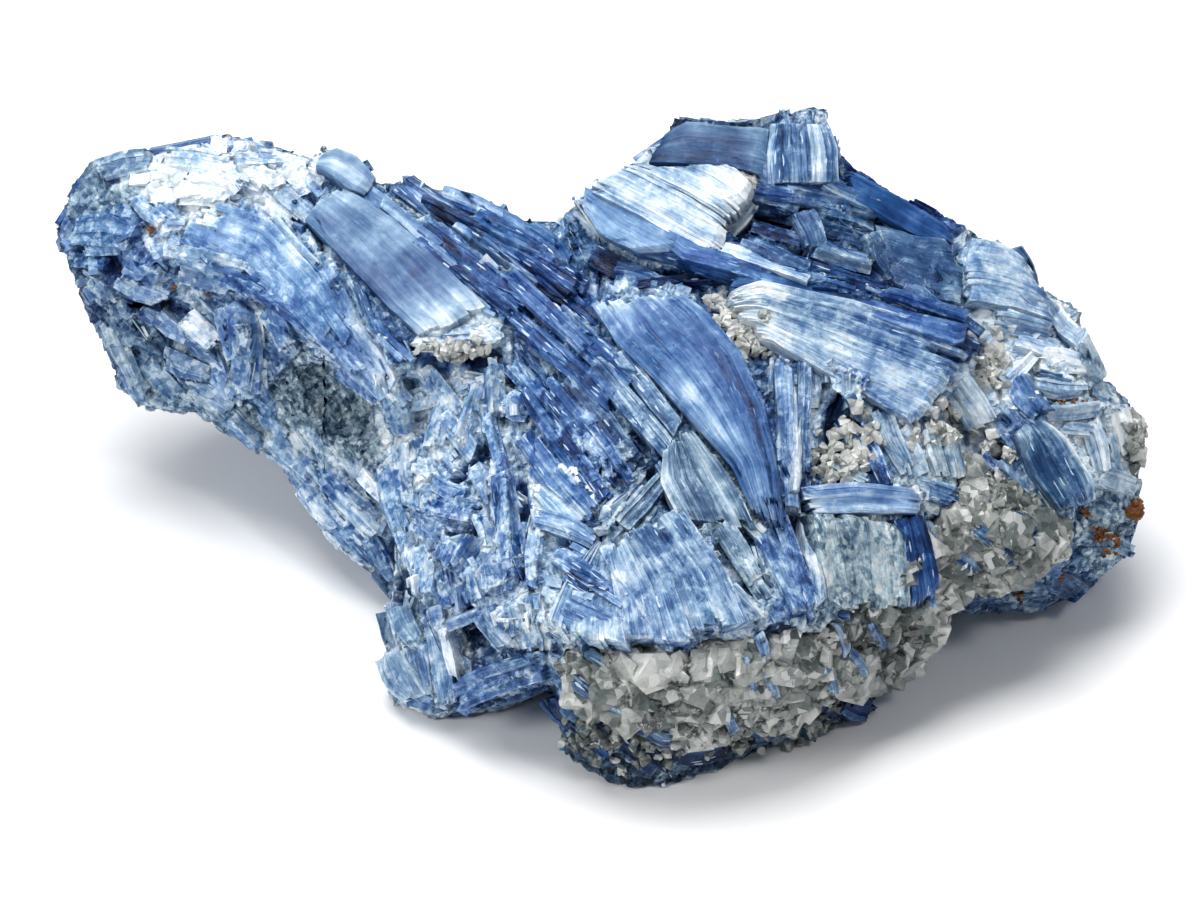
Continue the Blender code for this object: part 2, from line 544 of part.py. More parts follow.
def lay_blades(tree, side, rows, chance):
    """Lays table rows on one side of the rock, each as its own number of laths side by side."""
    laths = []
    for start, end, width, height, count in rows:
        ends = [on_surface(tree, side, *start), on_surface(tree, side, *end)]
        middle = [(a + b) / 2.0 for a, b in zip(start, end)]
        run = Vector((end[0] - start[0], end[1] - start[1])).normalized()
        reach = max(0.5 * width, 2.5)
        beside = [
            on_surface(tree, side, middle[0] - way * run.y * reach, middle[1] + way * run.x * reach)
            for way in (-1.0, 1.0)
        ]
        along = (ends[1] - ends[0]).normalized()
        outward = along.cross(beside[0] - beside[1]).normalized()
        if outward.dot(side[2]) < 0.0:
            outward.negate()
        across = along.cross(outward).normalized()
        pitch = width * MM / count
        for strip in range(count):
            shift = across * (strip - (count - 1) / 2.0) * pitch
            drop = outward * chance.uniform(0.0, LATH_DROP) * MM * (count > 1)
            cut_back = [chance.uniform(0.0, LATH_STAGGER) * pitch * (count > 1) for _ in range(2)]
            laths.append(lath(
                ends[0] + shift - drop + along * cut_back[0],
                ends[1] + shift - drop - along * cut_back[1],
                outward,
                pitch * chance.uniform(*LATH_OVERLAP),
                height * MM,
                chance.uniform(-0.25, 0.25),
                chance.uniform(-0.06, 0.06),
            ))
    return laths


def scattered_rows(reach_u, reach_v, step, run, chance):
    """Rows for a side whose blades all lie roughly one way, a blade to each step of a loose grid."""
    rows = []
    for i in range(-reach_u, reach_u + 1):
        for j in range(-reach_v, reach_v + 1):
            u = (i + 0.5 * (j % 2) + chance.uniform(-0.25, 0.25)) * step
            v = (j + chance.uniform(-0.25, 0.25)) * step * 0.7
            half = chance.uniform(4.5, 8.5)
            heading = math.radians(run + chance.uniform(-28.0, 28.0))
            du, dv = half * math.cos(heading), half * math.sin(heading)
            width = chance.uniform(3.0, 5.5)
            rows.append(((u - du, v - dv), (u + du, v + dv), width, chance.uniform(1.4, 2.6), 1))
    return rows


def shows(tree, side, row):
    """Whether both ends of a row land on rock that faces that side and not the sloping face."""
    sloping_face = side_axes(FACE_TURN, FACE_RISE)[2]
    along, up, out = side
    for u, v in row[:2]:
        level = (CENTRE + along * u + up * v) * MM
        hit, normal = tree.ray_cast(level + out * CLEAR_OF_THE_ROCK * MM, -out)[:2]
        if hit is None or normal.dot(out) < LEAST_TOWARD or normal.dot(sloping_face) > MOST_TOWARD_FACE:
            return False
    return True


def joined(rock, shapes, operation, name):
    """Adds or cuts away shapes (bmeshes) with one Boolean, and applies it."""
    group = bpy.data.collections.new(name)
    bpy.context.scene.collection.children.link(group)
    for number, shape in enumerate(shapes):
        piece = object_from_bmesh(f"{name}_{number}", shape)
        bpy.context.scene.collection.objects.unlink(piece)
        group.objects.link(piece)
    boolean = rock.modifiers.new(name, "BOOLEAN")
    boolean.operation = operation
    boolean.operand_type = "COLLECTION"
    boolean.collection = group
    apply_modifiers(rock)
    for piece in list(group.objects):
        bpy.data.objects.remove(piece, do_unlink=True)
    bpy.data.collections.remove(group)


def grown(obj, by):
    """A copy of a body, as a bmesh, with its skin moved outward."""
    shape = bmesh.new()
    shape.from_mesh(obj.data)
    shape.normal_update()
    for vertex in shape.verts:
        vertex.co += vertex.normal * by * vertex.calc_shell_factor()
    return shape


def finish(obj, name, colour, roughness):
    """Gives a body its material and its name."""
    material = bpy.data.materials.new(name)
    material.use_nodes = True
    shader = material.node_tree.nodes["Principled BSDF"]
    shader.inputs["Base Color"].default_value = (*colour, 1.0)
    shader.inputs["Roughness"].default_value = roughness
    obj.data.materials.clear()
    obj.data.materials.append(material)


def main():
    clear_scene()
    chance = random.Random(7)
    face = side_axes(FACE_TURN, FACE_RISE)
    rock = broken_rock("kyanite_blades", LUMPS, ROCK_GRAIN, ROCK_ROUGHNESS, ROCK_FACES, 3.0)
    tree = surface_finder(rock)

    pits = [slab(tree, face, outline, PIT_RIM, depth, PIT_TAPER) for outline, depth in PITS.values()]
    laths = []
    for rows in BLADES.values():
        laths += lay_blades(tree, face, rows, chance)
    laths += [slab(tree, face, outline, height, ROOT_DEPTH) for outline, height in SLABS.values()]
    for turn, rise, reach_u, reach_v, run in OTHER_SIDES.values():
        side = side_axes(turn, rise)
        rows = scattered_rows(reach_u, reach_v, OTHER_SIDES_STEP, run, chance)
        laths += lay_blades(tree, side, [row for row in rows if shows(tree, side, row)], chance)

    quartz = broken_rock(
        "quartz_matrix", QUARTZ_LUMPS, QUARTZ_GRAIN, QUARTZ_ROUGHNESS, QUARTZ_FACES, 9.0
    )
    joined(rock, pits, "DIFFERENCE", "pits")
    joined(rock, laths, "UNION", "laths")
    joined(rock, [grown(quartz, SEAM * MM)], "DIFFERENCE", "socket")
    for body in (rock, quartz):
        level_base(body)
        keep_outer_skin(body)
    finish(rock, "kyanite", (0.21, 0.33, 0.60), 0.38)
    finish(quartz, "quartz", (0.78, 0.75, 0.70), 0.45)


main()
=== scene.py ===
"""Kyanite blade cluster: the finish of a loose specimen of blue kyanite blades grown through quartz.

The sections follow the specimen from the rock under the blades outward. Tables are in millimetres.
"""

import math
import random

import bpy
import numpy as np
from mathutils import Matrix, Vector, kdtree, noise
from mathutils.bvhtree import BVHTree


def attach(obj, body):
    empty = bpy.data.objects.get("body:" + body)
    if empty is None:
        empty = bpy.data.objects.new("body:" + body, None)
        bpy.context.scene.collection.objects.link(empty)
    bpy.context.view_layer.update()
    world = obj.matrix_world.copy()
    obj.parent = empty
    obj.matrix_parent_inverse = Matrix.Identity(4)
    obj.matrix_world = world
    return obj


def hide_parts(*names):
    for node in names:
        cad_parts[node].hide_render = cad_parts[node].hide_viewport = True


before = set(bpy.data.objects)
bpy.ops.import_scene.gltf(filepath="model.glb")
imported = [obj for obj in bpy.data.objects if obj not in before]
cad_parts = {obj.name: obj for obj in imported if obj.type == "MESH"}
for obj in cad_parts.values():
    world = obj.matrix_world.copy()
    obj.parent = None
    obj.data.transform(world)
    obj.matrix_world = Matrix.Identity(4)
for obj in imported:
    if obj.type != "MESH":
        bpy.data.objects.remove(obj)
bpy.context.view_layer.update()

bpy.ops.object.select_all(action="DESELECT")
noise.seed_set(7)  # without it, Blender's noise vectors differ from run to run

# ---------------------------------------------------------------------------------------------
# The broad face. The side with the best blades slopes back from -Y, 38 degrees above level.
# Places on it are u along the length and v up the slope, and w is how far out the skin is there.
MM = 0.001
MIDDLE = np.array([0.0, 6.2, 28.0])
RISE = math.radians(38.0)
ALONG = np.array([1.0, 0.0, 0.0])
UP = np.array([0.0, math.sin(RISE), math.cos(RISE)])
OUT = np.array([0.0, -math.cos(RISE), math.sin(RISE)])
CLEAR = 100.0  # further out than any part of the specimen
LOOKS_OUT = 0.12  # how squarely skin has to look out of the broad face to belong to it


def skin(*names):
    """The solids' surface, in millimetres, ready to be hit by rays."""
    corners, faces = [], []
    for name in names:
        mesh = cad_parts[name].data
        first = len(corners)
        corners += [vertex.co / MM for vertex in mesh.vertices]
        faces += [[first + i for i in polygon.vertices] for polygon in mesh.polygons]
    return BVHTree.FromPolygons(corners, faces)


SKIN = skin("kyanite_blades", "quartz_matrix")


def point(u, v, w=0.0):
    return MIDDLE + ALONG * u + UP * v + OUT * w


def depth(u, v):
    """How far out (w) the skin is at u, v, where the face is looked at straight on."""
    hit = SKIN.ray_cast(Vector(point(u, v, CLEAR)), Vector(-OUT))[0]
    if hit is None:
        hit = SKIN.find_nearest(Vector(point(u, v)))[0]
    return float(np.dot(np.array(hit) - MIDDLE, OUT))


def unit(vector):
    return vector / np.linalg.norm(vector)


STEEPEST = 1.3  # how steeply a bed may lean out of the broad face
BEND, SIDE_BEND = 1.6, 6.0  # how far a blade may bend down to the skin, in front and at the sides
LOOK_FROM, LOOK_IN = 3.0, 12.0  # a side bed looks for skin from this far out, this far in


class Bed:
    """The flat that best fits the skin under a few places: what a blade lies on."""

    def __init__(self, places):
        rows = np.array([(1.0, u, v) for u, v in places])
        found = np.array([depth(u, v) for u, v in places])
        self.slope = np.linalg.lstsq(rows, found, rcond=None)[0]
        for _ in range(3):  # leaves out places that a crevice or a step takes away from the rest
            miss = found - rows @ self.slope
            keep = np.abs(miss) <= max(1.0, 1.6 * np.median(np.abs(miss)))
            if keep.sum() > 4:
                self.slope = np.linalg.lstsq(rows[keep], found[keep], rcond=None)[0]
        lean = np.hypot(self.slope[1], self.slope[2])
        if lean > STEEPEST:
            middle = rows[:, 1:].mean(0)
            level = self.slope @ np.array([1.0, *middle])
            self.slope[1:] *= STEEPEST / lean
            self.slope[0] = level - self.slope[1:] @ middle
        self.outward = unit(OUT - ALONG * self.slope[1] - UP * self.slope[2])
        self.fall, self.bend = -OUT, BEND

    def place(self, u, v, lift=0.0):
        w = self.slope[0] + self.slope[1] * u + self.slope[2] * v
        return point(u, v, w) + self.outward * lift

    def above(self, place, u, v):
        """How far off the skin a place is."""
        return float(np.dot(place - MIDDLE, OUT)) - depth(u, v)


class SideBed:
    """The flat a blade lies on where the skin is turned away. u runs along the blade here."""

    def __init__(self, middle, run, outward):
        self.middle, self.run, self.outward = middle, run, outward
        self.across = np.cross(outward, run)
        self.fall, self.bend = -outward, SIDE_BEND

    def place(self, u, v, lift=0.0):
        return self.middle + self.run * u + self.across * v + self.outward * lift

    def above(self, place, u, v):
        hit = SKIN.ray_cast(Vector(place - self.fall * LOOK_FROM), Vector(self.fall), LOOK_IN)[0]
        return self.bend if hit is None else float(np.dot(np.array(hit) - place, self.fall))


# ---------------------------------------------------------------------------------------------
# Kyanite. A glassy to pearly silicate, IOR 1.72, that cleaves into flat blades with fine lines
# along them. Its blue is uneven: deep along the middle of a blade, pale to white where it is broken.
def colour(hex_code):
    """An sRGB hex colour as linear RGBA."""
    shares = [int(hex_code[i : i + 2], 16) / 255 for i in (0, 2, 4)]
    return [c / 12.92 if c <= 0.04045 else ((c + 0.055) / 1.055) ** 2.4 for c in shares] + [1.0]


def add(tree, kind, sockets=None, stops=None, **settings):
    """Adds a node. A socket takes a value, an output to link, or a node for its first output."""
    made = tree.nodes.new("ShaderNode" + kind)
    for name, value in settings.items():
        setattr(made, name, value)
    for name, value in (sockets or {}).items():
        if isinstance(value, bpy.types.Node):
            value = value.outputs[0]
        if isinstance(value, bpy.types.NodeSocket):
            tree.links.new(value, made.inputs[name])
        else:
            made.inputs[name].default_value = value
    if stops:
        ramp = made.color_ramp.elements
        while len(ramp) < len(stops):
            ramp.new(0.5)
        for element, (place, shade) in zip(ramp, stops):
            element.position = place
            element.color = colour(shade)
    return made


def new_material(name):
    material = bpy.data.materials.new(name)
    material.use_nodes = True
    return material, material.node_tree, material.node_tree.nodes["Principled BSDF"]


KYANITE_IOR = 1.72
PER_MM = 1.0 / MM  # a pattern one cell to the millimetre, on Object coordinates
SHADES = ("tint", "grey", "frost", "fibre")  # what each point of a kyanite piece carries
KYANITE_BLUES = [
    (0.00, "051838"), (0.16, "0C2C5E"), (0.34, "214C89"), (0.52, "4A6FA4"),
    (0.68, "7496BF"), (0.84, "ACC3DB"), (1.00, "E9F0F5"),
]
KYANITE_GREYS = [
    (0.00, "060A0F"), (0.20, "15212A"), (0.40, "334751"), (0.58, "5B727D"),
    (0.74, "8A9EA6"), (0.88, "B8C6CA"), (1.00, "E8ECEC"),
]


def facets(tree, vector, dimensions="3D"):
    """Crisp cells, each a flat facet: its own shade from 0 to 1, and a height that tilts it."""
    cell = add(tree, "TexVoronoi", {"Vector": vector, "Scale": 1.0}, voronoi_dimensions=dimensions)
    within = add(tree, "VectorMath", {0: vector, 1: cell.outputs["Position"]}, operation="SUBTRACT")
    lean = add(tree, "VectorMath", {0: cell.outputs["Color"], 1: (0.5, 0.5, 0.5)}, operation="SUBTRACT")
    tilt = add(tree, "VectorMath", {0: within, 1: lean}, operation="DOT_PRODUCT")
    shade = add(tree, "SeparateXYZ", {"Vector": cell.outputs["Color"]})
    return shade.outputs["Z"], tilt.outputs["Value"]


def weigh(tree, total, value, weight):
    """Adds a pattern from 0 to 1 to a total, so that its middle leaves the total as it is."""
    rest = add(tree, "Math", {0: total, 1: -0.5 * weight}, operation="ADD")
    return add(tree, "Math", {0: value, 1: weight, 2: rest}, operation="MULTIPLY_ADD")


def kyanite_finish(name, lines, crumbs, roughness):
    """lines is how clear the fine lines along the blade are, crumbs how crushed its surface is."""
    material, tree, shader = new_material(name)
    grain = add(tree, "UVMap", uv_map="grain")
    place = add(tree, "TexCoord").outputs["Object"]
    tint, grey, frost, fibre = [
        add(tree, "Attribute", attribute_name=title).outputs["Fac"] for title in SHADES
    ]

    def on_grain(along, across):
        """Places along and across the blade, in cells: so many to the millimetre each way."""
        return add(tree, "Mapping", {"Vector": grain, "Scale": (along, across, 1.0)})

    def drawn(pattern):
        """A pattern of laths, weaker where the blades are smooth or crushed."""
        centred = add(tree, "Math", {0: pattern, 1: -0.5}, operation="ADD")
        return add(tree, "Math", {0: centred, 1: fibre, 2: 0.5}, operation="MULTIPLY_ADD")

    # Along the blade: streaks 11 x 1.3 mm, lines 0.22 mm apart, laths 7 x 0.5 mm, sheets
    # 17 x 1.6 mm and painted glints 1.1 x 0.2 mm.
    streak = add(tree, "TexNoise", {
        "Vector": on_grain(0.09, 0.75), "Scale": 1.0, "Detail": 4.0, "Roughness": 0.6, "Distortion": 0.5,
    })
    line = add(tree, "TexNoise", {
        "Vector": on_grain(0.22, 4.6), "Scale": 1.0, "Detail": 3.0, "Roughness": 0.75, "Distortion": 0.3,
    })
    line = add(tree, "MapRange", {"Value": line, "From Min": 0.36, "From Max": 0.64})
    lath, lath_tilt = facets(tree, on_grain(0.15, 2.1), "2D")
    sheet, sheet_tilt = facets(tree, on_grain(0.06, 0.62), "2D")
    glint, _ = facets(tree, on_grain(0.9, 6.0), "2D")

    # Through the blade: patches of 5 mm, frosting of 2.5 mm and crumbs of 0.8 mm.
    patch = add(tree, "TexNoise", {
        "Vector": place, "Scale": 0.20 * PER_MM, "Detail": 3.0, "Roughness": 0.6,
    })
    frosting = add(tree, "TexNoise", {
        "Vector": place, "Scale": 0.40 * PER_MM, "Detail": 7.0, "Roughness": 0.75, "Distortion": 0.8,
    })
    crumb_places = add(tree, "VectorMath", {0: place, "Scale": 1.25 * PER_MM}, operation="SCALE")
    crumb, crumb_tilt = facets(tree, crumb_places.outputs["Vector"])

    tone = add(tree, "Math", {0: tint, 1: -0.01}, operation="ADD")
    tone = weigh(tree, tone, streak, 0.50)
    tone = weigh(tree, tone, patch, 0.80)
    tone = weigh(tree, tone, drawn(line), 0.14 * lines)
    tone = weigh(tree, tone, drawn(lath), 0.20 * lines)
    tone = weigh(tree, tone, drawn(sheet), 0.16 * lines)
    tone = weigh(tree, tone, crumb, 0.36 * crumbs)

    # Frost lifts the tone toward white, and here and there a lath cell is painted pale blue-white: a
    # painted glint.
    frost_run = add(tree, "TexNoise", {
        "Vector": on_grain(0.30, 1.7), "Scale": 1.0, "Detail": 6.0, "Roughness": 0.72, "Distortion": 0.6,
    })
    frosted = add(tree, "Math", {0: frost, 1: 0.45, 2: frosting}, operation="MULTIPLY_ADD")
    frosted = weigh(tree, frosted, frost_run, 0.55)
    frosted = weigh(tree, frosted, crumb, 0.25 * crumbs)
    frosted = add(tree, "MapRange", {"Value": frosted, "From Min": 0.62, "From Max": 0.92, "To Max": 0.85})
    short = add(tree, "Math", {0: 1.0, 1: tone}, operation="SUBTRACT")
    tone = add(tree, "Math", {0: frosted, 1: short, 2: tone}, operation="MULTIPLY_ADD")
    # Painted glints: the rare glint cells are painted near white in the base colour, a painted highlight.
    painted_glints = add(tree, "MapRange", {"Value": glint, "From Min": 0.975, "From Max": 0.98, "To Max": 0.86})
    painted_glints = add(tree, "Math", {0: painted_glints, 1: fibre}, operation="MULTIPLY")
    tone = add(tree, "Math", {0: tone, 1: painted_glints}, operation="MAXIMUM")

    drift = add(tree, "TexNoise", {
        "Vector": place, "Scale": 0.09 * PER_MM, "Detail": 2.0, "Roughness": 0.6,
    })
    drift = add(tree, "MapRange", {
        "Value": drift, "From Min": 0.35, "From Max": 0.65, "To Min": 0.494, "To Max": 0.505,
    })
    blue = add(tree, "ValToRGB", {"Fac": tone}, stops=KYANITE_BLUES)
    blue = add(tree, "HueSaturation", {"Hue": drift, "Color": blue})
    smoky = add(tree, "ValToRGB", {"Fac": tone}, stops=KYANITE_GREYS)
    body = add(tree, "MixRGB", {"Fac": grey, "Color1": blue, "Color2": smoky})
    tree.links.new(body.outputs["Color"], shader.inputs["Base Color"])

    relief = weigh(tree, 0.0, line, 0.16 * lines)
    relief = weigh(tree, relief, lath, 0.30 * lines)
    relief = weigh(tree, relief, lath_tilt, 1.3 * lines)
    relief = weigh(tree, relief, sheet, 0.40)
    relief = weigh(tree, relief, sheet_tilt, 1.6)
    relief = add(tree, "Math", {0: relief, 1: fibre}, operation="MULTIPLY")
    crushed = add(tree, "Math", {0: frosted, 1: 1.2, 2: 0.3 + 3.4 * crumbs}, operation="MULTIPLY_ADD")
    relief = add(tree, "Math", {0: crumb_tilt, 1: crushed, 2: relief}, operation="MULTIPLY_ADD")
    bump = add(tree, "Bump", {"Height": relief, "Strength": 1.0, "Distance": 0.24 * MM})
    tree.links.new(bump.outputs["Normal"], shader.inputs["Normal"])
    rough = add(tree, "MapRange", {"Value": lath, "To Min": roughness, "To Max": roughness + 0.30})
    tree.links.new(rough.outputs["Result"], shader.inputs["Roughness"])
    shader.inputs["IOR"].default_value = KYANITE_IOR
    shader.inputs["Specular IOR Level"].default_value = 0.14  # cracks under the surface dull it
    return material


# Cleaved faces are lined and silky, crushed ones break into dull facets, and a few broad faces
# are single smooth cleavages.
KYANITE_CLEAVED = kyanite_finish("kyanite_cleaved", 1.0, 0.24, 0.18)
KYANITE_GRANULAR = kyanite_finish("kyanite_granular", 0.7, 0.60, 0.26)
KYANITE_SMOOTH = kyanite_finish("kyanite_smooth", 0.5, 0.06, 0.28)


# ---------------------------------------------------------------------------------------------
# How the blades grew. Each patch of the broad face has its own heading (degrees from +u), and
# its own blue: tint runs from navy (0) to near white (1), grey from blue (0) to grey (1), and
# frost is how much of it is broken to white. The sides that are turned away follow SIDES.
GROWTH = [
    # u, v, reach, heading, spread, tint, grey, frost, length, width
    (-70, 37, 6, 10, 40, 0.62, 0.55, 0.2, 1.8, 1.4),
    (-68, 29, 6, -5, 30, 0.54, 0.20, 0.2, 3.5, 2.4),
    (-72, 22, 5, -10, 36, 0.46, 0.45, 0.2, 2.6, 1.6),
    # The next two left-top patches are near white, partly frosted and partly a painted highlight of the lit
    # top.
    (-55, 37, 7, -12, 38, 0.94, 0.10, 0.8, 3.6, 2.6),
    (-46, 39, 6, -20, 36, 0.82, 0.15, 0.6, 3.0, 2.0),
    (-59, 31, 5, -15, 32, 0.66, 0.15, 0.4, 3.6, 1.8),
    (-52, 30, 6, -38, 16, 0.68, 0.05, 0.6, 8.0, 2.0),
    (-44, 23, 7, -40, 14, 0.60, 0.05, 0.5, 8.0, 2.0),
    (-34, 12, 6, -46, 14, 0.58, 0.05, 0.5, 8.0, 2.0),
    (-38, 28, 6, -58, 14, 0.56, 0.20, 0.3, 7.0, 1.6),
    (-30, 24, 8, -41, 10, 0.47, 0.30, 0.2, 9.0, 2.2),
    (-18, 29, 8, -36, 8, 0.40, 0.10, 0.2, 10.0, 2.2),
    (-24, 36, 6, -36, 10, 0.50, 0.25, 0.4, 8.0, 1.8),
    (-8, 23, 7, -38, 10, 0.35, 0.10, 0.2, 9.0, 2.0),
    (-18, 14, 6, -20, 30, 0.67, 0.25, 0.6, 5.0, 1.6),
    (-64, 15, 6, -60, 22, 0.51, 0.45, 0.2, 6.0, 1.6),
    (-55, 21, 6, -20, 32, 0.49, 0.30, 0.3, 3.4, 1.8),
    (-57, 11, 6, -40, 40, 0.63, 0.50, 0.3, 2.6, 1.6),
    (-48, 13, 5, -86, 12, 0.54, 0.25, 0.3, 7.0, 1.8),
    (-38, 6, 7, -50, 60, 0.53, 0.75, 0.3, 1.1, 1.0),
    (-42, -3, 6, -52, 14, 0.63, 0.30, 0.4, 6.0, 1.8),
    (-34, -11, 5, -56, 18, 0.56, 0.20, 0.4, 6.0, 1.8),
    (-28, 6, 5, -68, 25, 0.64, 0.32, 0.4, 5.0, 1.6),
    (-22, 1, 6, -50, 40, 0.66, 0.36, 0.5, 2.4, 1.4),
    (-15, 5, 5, -84, 16, 0.63, 0.27, 0.4, 6.0, 1.6),
    (-22, -9, 6, -18, 25, 0.60, 0.32, 0.4, 5.0, 1.6),
    (-25, -17, 6, -78, 20, 0.63, 0.42, 0.4, 5.0, 1.8),
    (-16, -15, 6, -70, 25, 0.60, 0.27, 0.4, 5.0, 1.8),
    (-13, -9, 3, -82, 8, 0.58, 0.17, 0.5, 9.0, 1.2),
    (-5, 14, 6, -46, 10, 0.41, 0.15, 0.3, 9.0, 2.0),
    (-3, 4, 7, -54, 10, 0.34, 0.15, 0.3, 10.0, 2.0),
    (6, 4, 5, -54, 10, 0.38, 0.50, 0.2, 8.0, 1.6),
    (-6, -6, 5, -50, 22, 0.82, 0.27, 0.7, 5.0, 1.6),
    (-4, -15, 5, -30, 22, 0.60, 0.27, 0.4, 6.0, 1.8),
    (0, -22, 5, -20, 30, 0.70, 0.27, 0.6, 5.0, 1.8),
    (6, -9, 4, 50, 18, 0.60, 0.47, 0.4, 6.0, 1.6),
    (10, -5, 5, -64, 14, 0.66, 0.52, 0.4, 7.0, 1.6),
    (16, -5, 5, -58, 12, 0.64, 0.67, 0.2, 8.0, 2.2),
    (6, -18, 6, -56, 12, 0.70, 0.17, 0.5, 9.0, 1.8),
    (13, -18, 5, -74, 10, 0.68, 0.17, 0.4, 9.0, 2.0),
    (19, -16, 4, -64, 20, 0.64, 0.47, 0.3, 6.0, 1.8),
    (25, -15, 4, -66, 8, 0.46, 0.15, 0.2, 9.0, 2.0),
    (14, 14, 6, -58, 8, 0.40, 0.10, 0.2, 9.0, 1.6),
    (22, 2, 5, -78, 8, 0.34, 0.05, 0.2, 9.0, 1.6),
    (26, 4, 4, -88, 6, 0.44, 0.05, 0.6, 9.0, 1.4),
    (31, 8, 4, -88, 30, 0.64, 0.45, 0.5, 5.0, 1.8),
    (37, 2, 5, -64, 20, 0.50, 0.30, 0.3, 6.0, 1.6),
    (43, 0, 4, -80, 20, 0.68, 0.45, 0.5, 5.0, 1.6),
    (34, 15, 8, -20, 8, 0.56, 0.10, 0.4, 10.0, 2.0),
    (49, 9, 5, -50, 14, 0.66, 0.20, 0.5, 7.0, 2.0),
    (30, 22, 8, -14, 8, 0.28, 0.10, 0.2, 11.0, 2.0),
    (8, 27, 6, -12, 14, 0.50, 0.20, 0.4, 7.0, 1.8),
    (8, 33, 7, -12, 12, 0.80, 0.10, 0.5, 8.0, 2.4),
    (15, 42, 6, -10, 20, 0.26, 0.35, 0.1, 7.0, 3.0),
    (27, 41, 5, -89, 6, 0.30, 0.25, 0.5, 8.0, 1.6),
    (24, 31, 6, -20, 30, 0.36, 0.35, 0.3, 6.0, 1.8),
    (33, 28, 5, -20, 30, 0.38, 0.30, 0.3, 6.0, 1.8),
    (40, 33, 6, -32, 10, 0.22, 0.00, 0.2, 10.0, 2.4),
    (45, 24, 5, -44, 14, 0.30, 0.35, 0.2, 7.0, 1.8),
    (51, 24, 4, -84, 12, 0.66, 0.25, 0.4, 6.0, 1.6),
    (56, 26, 4, -50, 25, 0.66, 0.37, 0.3, 5.0, 1.8),
    (57, 19, 5, -10, 40, 0.88, 0.37, 0.5, 2.6, 1.4),
    (61, 11, 6, -5, 30, 0.80, 0.27, 0.4, 5.0, 1.6),
    (68, 12, 5, -55, 30, 0.78, 0.37, 0.4, 5.0, 1.6),
    (60, -1, 5, -54, 10, 0.48, 0.32, 0.3, 8.0, 2.0),
    (69, 0, 5, -60, 40, 0.70, 0.42, 0.5, 2.6, 1.4),
    (70, -9, 5, -30, 50, 0.45, 0.50, 0.4, 2.2, 1.4),
    (61, -17, 5, -20, 30, 0.37, 0.37, 0.2, 6.0, 2.0),
    (35, -15, 6, -84, 6, 0.60, 0.60, 0.4, 9.0, 2.0),
    (43, -14, 3, -76, 8, 0.24, 0.15, 0.1, 8.0, 1.6),
    # The next two patches, under the front, are tinted dark as painted shade.
    (10, -40, 8, -30, 60, 0.30, 0.70, 0.1, 2.0, 1.4),
    (32, -36, 6, -20, 60, 0.22, 0.60, 0.1, 2.2, 1.4),
    (-22, -28, 4, -82, 10, 0.60, 0.37, 0.5, 8.0, 1.4),
    (-27, -31, 4, -70, 40, 0.62, 0.52, 0.5, 2.4, 1.4),
    (-13, -30, 5, 22, 10, 0.42, 0.27, 0.3, 9.0, 1.8),
    (-11, -23, 4, -85, 16, 0.78, 0.22, 0.6, 6.0, 1.8),
]
# The same for the sides that are turned away: run (x, y, z), then spread, tint, grey, frost,
# length and width. One of these is drawn for each patch of them.
SIDES = [
    (0.86, 0.30, 0.42, 14, 0.46, 0.15, 0.3, 9.0, 2.2),
    (0.55, 0.80, -0.20, 18, 0.58, 0.25, 0.5, 7.0, 2.0),
    (0.95, -0.20, 0.10, 12, 0.38, 0.10, 0.2, 10.0, 2.4),
    (0.20, 0.35, 0.90, 20, 0.52, 0.30, 0.4, 6.0, 1.8),
    (0.70, -0.60, 0.35, 16, 0.42, 0.45, 0.2, 8.0, 2.0),
    (-0.40, 0.75, 0.50, 22, 0.66, 0.30, 0.6, 5.0, 1.6),
]
SIDE_REACH = 19.0  # size of one such patch
GRANULAR = 35.0  # a spread over this means grains with no heading
PATCHES = np.array(GROWTH, float)
PATCH_RUNS = [
    ALONG * math.cos(math.radians(row[3])) + UP * math.sin(math.radians(row[3])) for row in GROWTH
]


def growth(place, normal):
    """Heading (a vector), spread, tint, grey, frost, length and width of the blades at a place."""
    where = Vector(place)
    if float(np.dot(normal, OUT)) > LOOKS_OUT:
        stray = noise.noise_vector(where / 5.0) * 2.2
        u = float(np.dot(place - MIDDLE, ALONG)) + stray.x
        v = float(np.dot(place - MIDDLE, UP)) + stray.y
        gap = np.hypot(PATCHES[:, 0] - u, PATCHES[:, 1] - v) / PATCHES[:, 2]
        number = int(np.argmin(gap))
        return (PATCH_RUNS[number], *GROWTH[number][4:])
    where = where + noise.noise_vector(where / 7.0) * 3.0
    nearest = noise.voronoi(where / SIDE_REACH)[1][0]
    row = SIDES[int(abs(nearest.x * 7.13 + nearest.y * 3.71 + nearest.z * 5.39) * 10.0) % len(SIDES)]
    return (np.array(row[0:3]), *row[3:])


# ---------------------------------------------------------------------------------------------
# The rock under the blades: crushed kyanite that the blades are rooted in. It is the solid's own
# skin, cut in four along its length and closed up, then broken into long facets with the grain.
ROCK_GRAIN = 0.52  # size of its smallest facets
ROCK_SET_IN = 0.30
ROCK_CUTS = (-80.0, -38.0, 0.0, 34.0, 80.0)
ROCK_OVERLAP = 0.3  # how far each length runs into the next


def stepped(spot, axes, length, width, rise, tip, gap):
    """Relief of flat broken blocks of one size: each has its own height and tilt, with gaps between."""
    at = Vector((
        float(np.dot(spot, axes[0])) / length,
        float(np.dot(spot, axes[1])) / width,
        float(np.dot(spot, axes[2])) / width,
    ))
    reach, spots = noise.voronoi(at)
    block = spots[0]
    draw = noise.noise_vector(block * 5.7)
    height = rise * draw.x + tip * (draw.y * (at.y - block.y) + 0.6 * draw.z * (at.x - block.x))
    return height - gap * max(0.0, 1.0 - (reach[1] - reach[0]) / 0.12), draw.z
